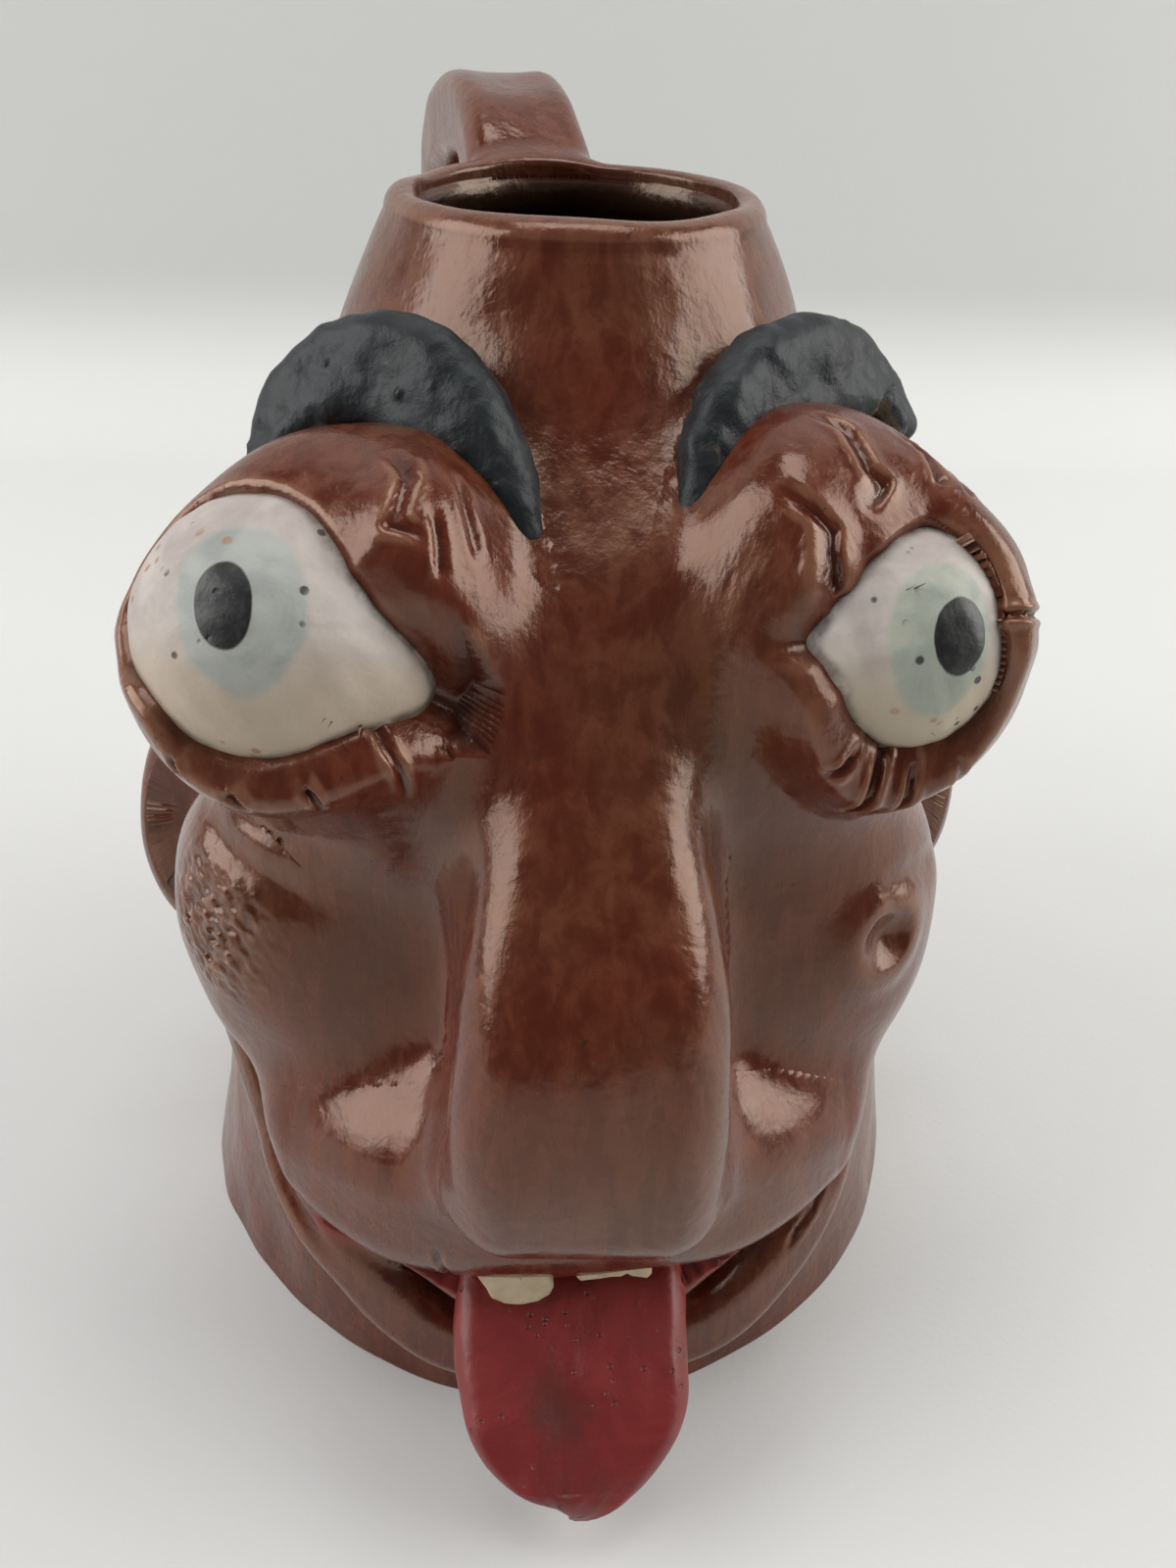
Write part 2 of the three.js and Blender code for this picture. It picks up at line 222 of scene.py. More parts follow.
def roll_distance(curve):
    """Distance from the bent bar: the nearest place by coarse tries and Newton steps, then a rounded box across it."""
    last = len(curve)
    tries = np.linspace(0, last, 8 * last + 1)
    stations = along(curve, tries)[:, :3]

    def distance(points):
        """Length of the parts of the offset past the box's core, less the corner radius."""
        gaps = (stations**2).sum(1) - 2 * points @ stations.T
        place = tries[np.argmin(gaps, axis=1)]
        for _ in range(3):
            here, going = along(curve, place)[:, :3], heading(curve, place)[:, :3]
            place = np.clip(place + ((points - here) * going).sum(1) / (going**2).sum(1), 0, last)
        here, going, facing, side = roll_axes(curve, place)
        offset = points - here[:, :3]
        wide, proud, over = ((offset * axis).sum(1) for axis in (side, facing, going))
        across, thick, corner, crown = here[:, 6:10].T
        swell = crown * np.maximum(1 - (wide / across) ** 2, 0) * (proud > 0)
        wide = np.abs(wide) - across + corner
        proud = np.abs(proud) - thick + corner - swell
        over = np.abs(over)
        inner = np.where(over > 1e-6, 0, np.minimum(np.maximum(wide, proud), 0))
        return np.sqrt(np.maximum(wide, 0) ** 2 + np.maximum(proud, 0) ** 2 + over**2) + inner - corner

    return distance


def add_roll(name, curve, softness):
    """Lists a bent bar among the lumps, with the box of its spine grown by its greatest half size."""
    stations = along(curve, np.linspace(0, len(curve), 40))
    grown = np.abs(stations[:, 6:8]).max() + stations[:, 8].max()
    spine = stations[:, :3]
    lumps[name] = (roll_distance(curve), spine.min(0) - grown, spine.max(0) + grown, softness)


def pad_distance(middle, axes, halves):
    """Distance from an ellipsoid: its scaled length times that less one, over the length scaled twice."""

    def distance(points):
        """The pad's axes turn the offset, and the half sizes scale it."""
        offset = (points - middle) @ np.array(axes).T / halves
        once = lengths(offset)[:, 0]
        return once * (once - 1) / np.maximum(lengths(offset / halves)[:, 0], 1e-9)

    return distance


def add_pad(name, middle, axes, halves, softness):
    """Lists an ellipsoid among the lumps."""
    reach = max(halves)
    lumps[name] = (pad_distance(middle, axes, np.array(halves, float)), middle - reach, middle + reach, softness)


def wall_axes(azimuth):
    """Sideways, upwards and outwards at an azimuth."""
    return [outward(azimuth + 90), np.array([0.0, 0, 1]), outward(azimuth)]


# ---- Handle -----------------------------------------------------------------
# A strap of clay with softened corners springs from the neck just under the lip, loops back
# over the hand and lands low on the wall. Both ends are wiped into the body with a wet thumb.

handle_low, handle_high = corners("handle_strap")
handle_plane = unit(np.array([centre("handle_strap")[0] - 0.4, centre("handle_strap")[1], 0]))
handle_side = np.array([handle_plane[1], -handle_plane[0], 0])
handle_top = handle_high[2] - 6.6
handle_reach = handle_high[1] - 3.3
handle_path = np.array(
    [
        [18.4, handle_top - 13.5],
        [29.5, handle_top - 1.6],
        [46.0, handle_top + 0.9],
        [handle_reach - 9.5, handle_top - 9.0],
        [handle_reach - 1.0, handle_top - 36.5],
        [handle_reach - 5.5, handle_top - 68.0],
        [55.0, handle_low[2] + 11.5],
        [43.0, handle_low[2] + 1.0],
    ]
)
handle_spine = handle_path[:, :1] * handle_plane + handle_path[:, 1:] * np.array([0, 0, 1.0])
handle_run = unit(np.gradient(handle_spine, axis=0))
handle_curve = roll(
    handle_spine,
    np.cross(handle_side, handle_run),
    [8.6, 7.9, 7.8, 7.7, 7.4, 7.4, 8.2, 9.4],
    [6.2, 5.6, 5.5, 5.4, 5.3, 5.3, 5.8, 6.6],
    [4.0, 3.4, 3.2, 3.4, 3.8, 3.8, 4.2, 4.6],
    [0.6, -0.5, -0.9, 0.3, 0.5, 0.5, 0.5, 0.5],
)
add_roll("handle_strap", handle_curve, 3.5)


# ---- Eye sockets ------------------------------------------------------------
# Two mounds of brown clay are pressed onto the cone beside the bridge of the nose, and each
# eyeball is pushed into its mound before the mound is smoothed down to the wall around it.

left_socket_axes, right_socket_axes = wall_axes(-29.3), wall_axes(34.2)
left_socket_halves, right_socket_halves = [19.0, 24.0, 16.0], [18.0, 25.0, 15.5]


def ball_place(side, inner):
    """The eyeball's middle, measured from the outer edge of its node's box, and its radius."""
    low, high = corners(side + "_eyeball")
    half = (high[2] - low[2]) / 2
    edge = low[0] + half if inner > 0 else high[0] - half
    return np.array([edge + 0.6 * inner, (low[1] + high[1]) / 2, (low[2] + high[2]) / 2 + 0.5]), half - 0.8


def add_socket(name, shift, axes, halves, ball, shell):
    """A pad joined softly with a shell of clay that wraps the back and the sides of the eyeball."""
    middle, (ball_middle, ball_radius) = centre(name) + shift, ball
    pad = pad_distance(middle, axes, np.array(halves, float))

    def distance(points):
        """The pad, and the distance from the ball's middle less its radius and the shell's thickness."""
        return soft_union(pad(points), lengths(points - ball_middle)[:, 0] - ball_radius - shell, 9)

    reach = max(halves) + blend_margin
    lumps[name] = (distance, middle - reach, middle + reach, 13)


left_ball_place, right_ball_place = ball_place("left", 1), ball_place("right", -1)
add_socket("left_eye_socket", [-1.4, 1.4, 3.0], left_socket_axes, left_socket_halves, left_ball_place, 0.35)
add_socket("right_eye_socket", [-0.4, 0.4, 1.6], right_socket_axes, right_socket_halves, right_ball_place, 0.55)


# ---- Nose -------------------------------------------------------------------
# A long squared bar of clay runs down from the brow, widens to a blunt tip and stops short of
# the upper lip. Its front is nearly flat, and its corners are rounded with the fingers.

nose_middle = centre("nose")
nose_curve = roll(
    nose_middle
    + [[0.6, 30.5, 46.0], [0.5, 13.3, 21.4], [0.3, 2.3, 5.0], [0.1, -6.4, -9.5], [0.0, -8.3, -26.0]],
    [0, -1, 0.2],
    [7.0, 9.6, 12.2, 14.4, 15.2],
    [4.0, 8.4, 11.0, 12.4, 12.8],
    [3.8, 6.0, 6.6, 6.6, 7.4],
    [0.2, 0.7, 0.7, 0.6, 0.6],
)
add_roll("nose", nose_curve, 8)


# ---- Cheeks -----------------------------------------------------------------
# A flattened ball of clay is pressed on under each eye. The left cheek carries a rough, pocked
# patch and the right one a dimple where the clay was poked.

left_cheek_middle = centre("left_cheek") + [-0.8, -1.5, 0.5]
right_cheek_middle = centre("right_cheek") + [-2.4, -2.0, 1.0]
left_cheek_halves, right_cheek_halves = [16.5, 20.5, 12.0], [16.0, 20.0, 12.0]
add_pad("left_cheek", left_cheek_middle, wall_axes(-49), left_cheek_halves, 14)
add_pad("right_cheek", right_cheek_middle, wall_axes(44), right_cheek_halves, 14)


# ---- Lips -------------------------------------------------------------------
# The upper lip is a fat roll under the nose. The lower lip is a thin one that hangs from cheek
# to cheek and runs under the tongue, and between them the mouth is scooped out.

upper_middle, lower_middle = centre("upper_lip"), centre("lower_lip")
upper_curve = roll(
    upper_middle
    + [[-31.0, 6.0, -3.0], [-17.5, -1.5, -1.0], [0.8, -4.0, 1.5], [18.5, -2.0, 0.0], [30.5, 5.0, -2.0]],
    [[-0.6, -0.8, 0.1], [-0.3, -0.95, 0.1], [0, -1, 0.1], [0.3, -0.95, 0.1], [0.6, -0.8, 0.1]],
    [7.5, 11.5, 12.0, 11.5, 7.5],
    [6.0, 8.2, 8.2, 8.2, 6.0],
    [5.8, 7.4, 7.4, 7.4, 5.8],
)
add_roll("upper_lip", upper_curve, 11)

lower_spine = lower_middle + np.array(
    [
        [-43.0, 16.6, 22.5],
        [-37.8, 8.0, 11.0],
        [-32.6, -0.3, 3.6],
        [-24.5, -5.6, -6.6],
        [-15.2, -9.2, -14.6],
        [1.5, -10.4, -17.2],
        [18.0, -9.4, -14.2],
        [27.0, -6.3, -7.2],
        [34.0, -1.2, 1.4],
        [37.3, 5.0, 12.2],
        [41.6, 12.0, 21.0],
    ]
)
lower_curve = roll(
    lower_spine,
    unit(lower_spine * [1, 1, 0]) + [0, 0, 0.25],
    [3.0, 4.4, 5.0, 5.4, 5.4, 5.2, 5.4, 5.4, 5.0, 4.2, 3.0],
    [2.6, 3.4, 3.8, 3.8, 3.6, 3.4, 3.6, 3.8, 3.8, 3.2, 2.6],
    [2.4, 3.2, 3.6, 3.6, 3.4, 3.2, 3.4, 3.6, 3.6, 3.0, 2.4],
)
add_roll("lower_lip", lower_curve, 4)

mouth_middle = (upper_middle + lower_middle) / 2
mouth_curve = roll(
    mouth_middle
    + [
        [-30.4, -1.8, -2.8],
        [-19.0, -6.4, -5.6],
        [-8.0, -8.0, -7.6],
        [9.6, -8.0, -7.6],
        [20.6, -6.0, -5.4],
        [30.8, -1.0, -1.8],
    ],
    [0, 0, 1],
    [3.0, 6.5, 8.0, 8.0, 6.5, 3.0],
    [0.8, 2.8, 4.2, 4.2, 3.0, 1.0],
    [0.7, 2.4, 3.4, 3.4, 2.6, 0.9],
)
mouth_hollow = roll_distance(mouth_curve)
hollows.append((mouth_hollow, mouth_middle - [42, 20, 18], mouth_middle + [42, 10, 18], 1.2))


# ---- Ears -------------------------------------------------------------------
# Each ear is a flat pad that stands out from the side of the wall, with a long bowl pressed
# into its front and the rim of the pad left standing round it.


ear_halves = [4.4, 24.5, 11.5]


def ear_axes(azimuth):
    """The wall's axes, leaned in by a fifth as the cone leans."""
    side, up, out = wall_axes(azimuth)
    return [side, unit(up - 0.2 * out), unit(out + 0.2 * up)]


def add_ear(name, azimuth, front):
    """A pad near the node's middle, and the hollow of its bowl, moved towards the front by half the pad's thickness."""
    axes = ear_axes(azimuth)
    middle = centre(name) - axes[2] * 0.8 + [0, 0, -3.5]
    add_pad(name, middle - axes[0] * 0.4 * front, axes, ear_halves, 5)
    bowl = middle + axes[0] * 4.4 * front + axes[2] * 4.2 + axes[1] * -0.5
    hollows.append((pad_distance(bowl, axes, np.array([3.9, 17.5, 5.4])), bowl - 24, bowl + 24, 1.2))


add_ear("left_ear", -94, 1)
add_ear("right_ear", 96, -1)


# ---- Eyelids ----------------------------------------------------------------
# A thin roll of brown clay lies over and under each eyeball and is wiped into the mound, which
# leaves the eye open along an uneven line with a sharp inner corner.


class Eye:
    """An eyeball's place, its gaze, and the angle from the gaze at which its lids lie all the way round."""

    sink = 0.7
    overhang, upper_overhang = 6, 8

    def __init__(self, side, ball, inner, turn, lift, flare, lid_line):
        self.side, self.flare, (self.middle, self.radius) = side, flare, ball
        self.gaze = outward(turn) * np.cos(np.radians(lift)) + [0, 0, np.sin(np.radians(lift))]
        self.inner = unit(np.array([inner, 0, 0]) - inner * self.gaze[0] * self.gaze)
        self.upper = np.cross(self.gaze, self.inner) * inner
        round_angles, openings = np.array(lid_line, float).T
        fine = np.arange(-540, 541.0)
        three_turns = np.concatenate([round_angles - 360, round_angles, round_angles + 360])
        line = np.interp(fine, three_turns, np.tile(openings, 3))
        weights = np.exp(-((np.arange(-15, 16) / 4.5) ** 2))
        self.fine, self.line = fine, np.convolve(line, weights / weights.sum(), mode="same")

    def opening(self, round_angle):
        """The lid line's angle from the gaze, read from the smoothed table."""
        return np.interp(round_angle, self.fine, self.line)

    def polar(self, points):
        """Angle round the gaze from the inner corner, angle from the gaze, and distance from the eyeball's middle."""
        offset = points - self.middle
        reach = lengths(offset)[:, 0]
        round_angle = np.degrees(np.arctan2(offset @ self.upper, offset @ self.inner))
        ahead = np.clip(offset @ self.gaze / np.maximum(reach, 1e-9), -1, 1)
        return round_angle, np.degrees(np.arccos(ahead)), reach

    def direction(self, round_angle, opening):
        """Unit vector at an angle round the gaze and an angle from it."""
        turn, tilt = np.radians(round_angle)[..., None], np.radians(opening)[..., None]
        flat = np.cos(turn) * self.inner + np.sin(turn) * self.upper
        return np.cos(tilt) * self.gaze + np.sin(tilt) * flat

    def hollow(self, points):
        """The angle past the lid line times the reach, flared over the eye and cut off some way outside the ball."""
        round_angle, tilt, reach = self.polar(points)
        under, over = self.flare
        above = ease(0.1, 0.9, np.sin(np.radians(round_angle)) - 0.4 * np.cos(np.radians(round_angle)))
        slope = under + (over - under) * above
        line = self.opening(round_angle) + slope * np.maximum(reach - self.radius - 0.9, 0)
        steep = np.hypot(1, np.radians(slope) * reach)
        past_line = np.radians(tilt - line) * reach * 0.9 / steep
        return np.maximum(past_line, reach - self.radius - self.overhang - self.upper_overhang * above)

    def lid_curve(self, start, end, across, thick):
        """A roll along the lid line: half a width outside it, with its underside sunk into the eyeball."""
        round_angles = np.linspace(start, end, len(across))
        across, thick = np.array(across, float), np.array(thick, float)
        tilt = self.opening(round_angles) + np.degrees((across + 0.1) / self.radius)
        ways = self.direction(round_angles, tilt)
        spine = self.middle + ways * (self.radius + thick - self.sink)[:, None]
        return roll(spine, ways, across, thick, np.minimum(across, thick) * 0.85)


left_eye = Eye(
    "left",
    left_ball_place,
    inner=1,
    turn=-6,
    lift=38,
    flare=(1.5, 5),
    lid_line=[
        (-165, 70), (-152, 61), (-139, 58), (-123, 62), (-108, 64), (-90, 65), (-67, 64),
        (-48, 68), (-34, 77), (-22, 86), (-12, 73), (-3, 59), (4, 51), (23, 43),
        (45, 46), (63, 52), (74, 55), (94, 62), (115, 74), (140, 80), (170, 80),
    ],
)
right_eye = Eye(
    "right",
    right_ball_place,
    inner=-1,
    turn=6,
    lift=28.5,
    flare=(1.0, 4),
    lid_line=[
        (-139, 49), (-114, 62), (-87, 69), (-72, 67), (-36, 49), (-16, 50), (-6, 57), (4, 51),
        (19, 44), (58, 45), (81, 51), (92, 53), (114, 45), (140, 38), (172, 31), (196, 37),
    ],
)
lid_curves = {
    "left_upper_eyelid": left_eye.lid_curve(
        -30,
        178,
        [1.2, 1.6, 2.0, 2.2, 2.2, 1.8, 1.4, 1.2, 1.2],
        [0.9, 1.0, 1.1, 1.2, 1.2, 0.9, 0.65, 0.5, 0.45],
    ),
    "left_lower_eyelid": left_eye.lid_curve(
        -12,
        -188,
        [1.4, 2.2, 2.7, 2.9, 2.9, 2.6, 2.0, 1.4, 1.2],
        [1.1, 1.7, 2.2, 2.4, 2.3, 1.8, 1.0, 0.6, 0.45],
    ),
    "right_upper_eyelid": right_eye.lid_curve(
        -14,
        188,
        [1.4, 2.0, 2.4, 2.6, 2.6, 2.4, 2.2, 1.9, 1.7],
        [1.0, 1.4, 1.7, 1.7, 1.5, 1.2, 0.9, 0.75, 0.7],
    ),
    "right_lower_eyelid": right_eye.lid_curve(
        6,
        -190,
        [1.4, 2.2, 3.0, 3.6, 3.8, 3.4, 2.4, 1.9, 1.7],
        [1.0, 1.6, 2.3, 2.9, 2.9, 2.1, 1.2, 0.8, 0.7],
    ),
}
for lid_name, lid_curve in lid_curves.items():
    add_roll(lid_name, lid_curve, 3.5)
for eye in (left_eye, right_eye):
    eye_span = eye.radius + Eye.overhang + Eye.upper_overhang
    hollows.append((eye.hollow, eye.middle - eye_span, eye.middle + eye_span, 1.3))


# ---- Marks in the clay ------------------------------------------------------
# Folds were drawn with a wooden tool above and below the eyes and at the corners of the mouth,
# the left cheek was roughened, the right one poked, and the clay split a little as it dried.


def scratch(origin, line, depth, width, burr=0.35):
    """A groove seen from an origin: depth times a bell of the distance from the line's rays, with a raised burr."""
    ways = unit(np.asarray(line, float))
    reach = lengths(np.asarray(line, float)).max() + 7
    low = origin + np.min(line, axis=0) - 4 - 2 * width
    high = origin + np.max(line, axis=0) + 4 + 2 * width

    def mark(points):
        """Distance from each piece of the line among the unit vectors, times the point's own reach."""
        depths = np.zeros(len(points))
        near = np.all((points > low) & (points < high), axis=1)
        if not near.any():
            return depths
        offset = points[near] - origin
        far = lengths(offset)[:, 0]
        way = offset / far[:, None]
        gap = np.full(len(way), 9.0)
        taper = np.ones(len(way))
        for number, (start, end) in enumerate(zip(ways[:-1], ways[1:])):
            run = end - start
            share = np.clip((way - start) @ run / (run @ run), 0, 1)
            found = lengths(way - start - share[:, None] * run)[:, 0]
            place = (number + share) / (len(ways) - 1)
            taper = np.where(found < gap, np.minimum(1, 4 * np.minimum(place + 0.08, 1.08 - place)), taper)
            gap = np.minimum(gap, found)
        gap = gap * far / width
        depths[near] = depth * taper * (np.exp(-gap * gap) - burr * np.exp(-((gap - 2) ** 2))) * (far < reach)
        return depths

    return mark


right_folds = [
    ([[-11.4, -2.8, 13.8], [-9.6, -3.9, 12.9], [-8.3, -4.7, 11.8], [-8.5, -6.4, 9.6], [-9.0, -7.8, 7.3]], 0.9, 0.75),
    ([[-7.5, 5.3, 16.9], [-5.5, 3.8, 16.4], [-4.5, 0.1, 15.3], [-3.3, -0.6, 13.9], [-4.6, -2.4, 12.8]], 0.85, 0.7),
    ([[-0.7, 6.3, 17.5], [1.8, 4.2, 16.7], [2.2, 1.2, 16.1], [2.1, 0.5, 13.9]], 0.75, 0.6),
    ([[4.6, 4.3, 16.3], [5.4, 1.7, 15.6], [5.2, 0.5, 14.2]], 0.7, 0.55),
    ([[-5.3, -11.2, -6.7], [-6.2, -11.7, -7.4], [-7.4, -12.3, -8.0]], 1.1, 0.55),
    ([[-2.7, -12.9, -9.4], [-3.0, -11.8, -12.3], [-4.5, -10.0, -15.5]], 1.3, 0.6),
    ([[1.4, -12.8, -10.9], [0.3, -9.7, -14.5], [-1.7, -7.7, -17.5]], 1.3, 0.6),
    ([[6.2, -12.0, -9.2], [6.6, -9.6, -13.2], [5.6, -7.0, -16.5]], 0.7, 0.5),
    ([[11.5, -5.2, 4.5], [9.4, -7.4, 5.6], [7.4, -9.1, 6.7]], 0.8, 0.45),
]
left_folds = [
    ([[-3.6, -12.5, -8.2], [-3.0, -13.4, -8.8], [-2.2, -14.3, -10.4]], 0.8, 0.45),
    ([[3.1, -13.2, -7.3], [3.9, -14.6, -8.3], [4.9, -14.9, -10.2]], 0.9, 0.45),
    ([[11.8, -11.9, -4.1], [11.5, -12.7, -5.8], [12.2, -11.4, -10.7]], 0.8, 0.5),
    ([[-9.0, -12.0, -6.4], [-8.6, -12.6, -8.4]], 0.7, 0.45),
    ([[9.2, 2.1, 13.6], [9.5, -0.5, 11.9], [9.4, -4.0, 10.8], [10.9, -4.1, 10.0]], 0.7, 0.6),
    ([[12.1, -2.4, 11.1], [13.4, -4.5, 9.7], [13.7, -5.9, 8.4]], 0.6, 0.55),
    ([[13.8, 1.0, 12.0], [15.0, -1.0, 11.0], [16.6, -3.4, 8.8]], 0.5, 0.6),
]
for eye, folds, deep, wide in ((right_eye, right_folds, 0.7, 0.85), (left_eye, left_folds, 0.65, 0.8)):
    for fold_line, fold_depth, fold_width in folds:
        marks.append(scratch(eye.middle, fold_line, fold_depth * deep, fold_width * wide))
body_middle = np.array([0, 0, upper_middle[2] + 13])
for face_line, face_depth, face_width, face_burr in [
    ([[-16.5, -60.0, -15.5], [-16.2, -60.0, -19.5], [-14.6, -58.0, -24.5]], 0.8, 0.35, 0.1),
    ([[34.4, -48.3, -22.6], [31.9, -51.4, -27.1], [29.0, -54.1, -31.4]], 0.5, 0.35, 0.2),
    ([[-44.0, -36.0, -9.0], [-41.6, -42.0, -17.4], [-37.0, -47.5, -24.0], [-31.5, -52.0, -29.0]], 0.7, 1.1, 0.2),
    ([[46.5, -32.0, -6.0], [41.5, -40.0, -13.0], [37.5, -47.0, -20.0], [33.5, -51.0, -26.0]], 0.7, 1.1, 0.2),
    ([[-41.5, -34.0, 26.5], [-35.0, -39.5, 24.5], [-28.0, -42.0, 22.0]], 0.6, 2.2, 0.2),
    ([[-40.0, -38.0, 31.5], [-33.0, -44.0, 31.0], [-25.0, -47.0, 35.0]], 0.5, 1.8, 0.2),
    ([[45.0, -36.0, 21.5], [39.0, -41.0, 23.0], [32.0, -43.0, 22.0]], 0.6, 2.0, 0.2),
]:
    marks.append(scratch(body_middle, face_line, face_depth, face_width, face_burr))

scar_middle = left_cheek_middle + [-4.5, -7.0, 6.5]
dimple_middle = right_cheek_middle + [1.5, -8.8, 7.0]


def cheek_scars(points):
    """Fine pocks under a bell on the left cheek, and on the right a bell-shaped dimple inside a raised ring."""
    rough = np.exp(-((lengths(points - scar_middle)[:, 0] / 8.5) ** 4))
    pocks = 0.22 * waves(points, 2.3, 5) + 0.14 * waves(points, 1.3, 6)
    poke = lengths(points - dimple_middle)[:, 0] / 3.3
    return rough * pocks + 1.8 * np.exp(-poke * poke) - 0.9 * np.exp(-((poke - 1.9) ** 2) * 3)


marks.append(cheek_scars)


# ---- The smoothed clay ------------------------------------------------------
# Wiped over with wet fingers, the lumps keep their own bodies inside but share one outer skin.
# Each piece is drawn as a closed surface of rays from its own core, and it leaves the skin and
# sinks into the clay where a neighbour lies nearer.


def mesh_piece(name, points, faces, node=None):
    """A smooth-shaded mesh of millimetre points turned to metres, riding on the body in place of its node."""
    mesh = bpy.data.meshes.new(name)
    mesh.from_pydata((np.asarray(points) / 1000).tolist(), [], faces.tolist())
    mesh.polygons.foreach_set("use_smooth", np.ones(len(mesh.polygons), bool))
    mesh.update()
    piece = bpy.data.objects.new(name, mesh)
    bpy.context.scene.collection.objects.link(piece)
    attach(piece, "root")
    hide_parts(node or name)
    return piece


def sheet_faces(rows, columns, closed_rows=False):
    """Quads between neighbouring rows of a grid that is closed round its columns."""
    first = np.arange(rows if closed_rows else rows - 1)[:, None] * columns
    second = (first + columns) % (rows * columns)
    column = np.arange(columns)[None]
    beside = (column + 1) % columns
    return np.stack([first + column, first + beside, second + beside, second + column], axis=-1).reshape(-1, 4)


def store(piece, name, values):
    """A number at each corner point of the mesh, for the glaze to read."""
    piece.data.attributes.new(name, "FLOAT", "POINT").data.foreach_set("value", values.astype(np.float32))


def roll_rays(curve, rows, columns, cap):
    """Rays from a spine: across it along its run, and leaning over towards its heading round both of its ends."""
    lean = np.concatenate([np.linspace(-90, 0, cap, endpoint=False), np.zeros(rows), np.linspace(0, 90, cap + 1)[1:]])
    place = np.concatenate([np.zeros(cap), np.linspace(0, len(curve), rows), np.full(cap, float(len(curve)))])
    here, going, facing, side = roll_axes(curve, place)
    turn = np.linspace(0, 2 * np.pi, columns, endpoint=False)[None, :, None]
    sides, facings, across, thick = side[:, None], facing[:, None], here[:, None, 6:7], here[:, None, 7:8]
    level = unit(np.cos(turn) * sides * across**0.75 + np.sin(turn) * facings * thick**0.75)
    tilt = np.radians(lean)[:, None, None]
    ways = unit(np.cos(tilt) * level + np.sin(tilt) * going[:, None])
    starts = np.broadcast_to(here[:, None, :3], ways.shape)
    return starts.reshape(-1, 3), ways.reshape(-1, 3), sheet_faces(len(lean), columns)


def pad_rays(middle, axes, halves, rows, columns):
    """Rays from one point, spread over an ellipsoid evenly in latitude and longitude."""
    rise = np.concatenate([np.linspace(-90, -8, rows // 6, endpoint=False), np.linspace(-8, 90, rows - rows // 6)])
    rise = np.radians(rise)[:, None, None]
    turn = np.linspace(0, 2 * np.pi, columns, endpoint=False)[None, :, None]
    side, up, out = (np.asarray(axis) * half for axis, half in zip(axes, halves))
    ways = unit(np.cos(rise) * (np.cos(turn) * side + np.sin(turn) * up) + np.sin(rise) * out)
    return np.broadcast_to(middle, ways.shape).reshape(-1, 3), ways.reshape(-1, 3), sheet_faces(rows, columns)


ray_steps, least_reach, back_step, far_step = 14, 0.05, 3.2, 11
settled, astray = 0.006, 0.15
tuck, seam_tuck, inner_margin = 0.3, 0.08, 0.9


def clay_surface(name, starts, ways, own):
    """Steps each ray out to the skin by its distance from it, then sinks it as far as a neighbour lies nearer."""
    order = list(lumps).index(name)
    reach = np.maximum(own - back_step, least_reach)
    gap = np.ones(len(own))
    for _ in range(ray_steps):
        moving = np.abs(gap) > settled
        gap[moving] = skin(starts[moving] + ways[moving] * reach[moving, None])[0]
        reach[moving] = np.clip(reach[moving] - gap[moving], least_reach, own[moving] + far_step)
    rows = apart(starts + ways * reach[:, None])
    lead = rows[order] - np.delete(rows, order, axis=0).min(0)
    lost = np.abs(gap) > astray
    reach[lost] = own[lost]
    depth = np.maximum(reach - own, 0) * ease(1.5, 7, lead)
    depth = depth + tuck * np.where(lost, 1, ease(1, 4, lead)) + seam_tuck * ease(0, 2, lead)
    points = starts + ways * (reach - depth)[:, None]
    inside = wall_radius(points[:, 2]) - wall_thickness + inner_margin
    radius = np.hypot(points[:, 0], points[:, 1])
    points[:, :2] *= (np.maximum(inside, radius) / np.maximum(radius, 1e-6))[:, None]
    return points


def own_reach(distance, starts, ways, farthest, steps):
    """How far along each ray a lump's own surface lies."""
    near, far = np.full(len(ways), 0.02), np.full(len(ways), farthest)
    return crossing(near, far, lambda reach: distance(starts + ways * reach[:, None]), steps)


glaze_pieces = []


def clay_piece(name, starts, ways, faces, points=None):
    """Makes one lump's mesh, with the glaze's thickness read from how the skin bends, the mouth's red, and a mask of
    painted shade for the vessel's inner wall.
    """
    if points is None:
        own = own_reach(lumps[name][0], starts, ways, 45.0, 9)
        points = clay_surface(name, starts, ways, own)
    piece = mesh_piece(name, points, faces)
    corners_of_stencil = np.array([[1, 1, 1], [1, -1, -1], [-1, 1, -1], [-1, -1, 1]]) * 0.8
    bend = sum(skin(points + step)[0] for step in corners_of_stencil) / 4 - skin(points)[0]
    store(piece, "ridge", bend)
    store(piece, "mouth", ease(2.8, 0.9, mouth_hollow(points)))
    # Painted shade: the vessel's inner wall is marked here so that the glaze paints it near black.
    depth = wall_radius(points[:, 2]) - np.hypot(points[:, 0], points[:, 1])
    store(piece, "inside", ease(2.8, 4.2, depth) * (points[:, 2] > 1))
    glaze_pieces.append(piece)
    return piece


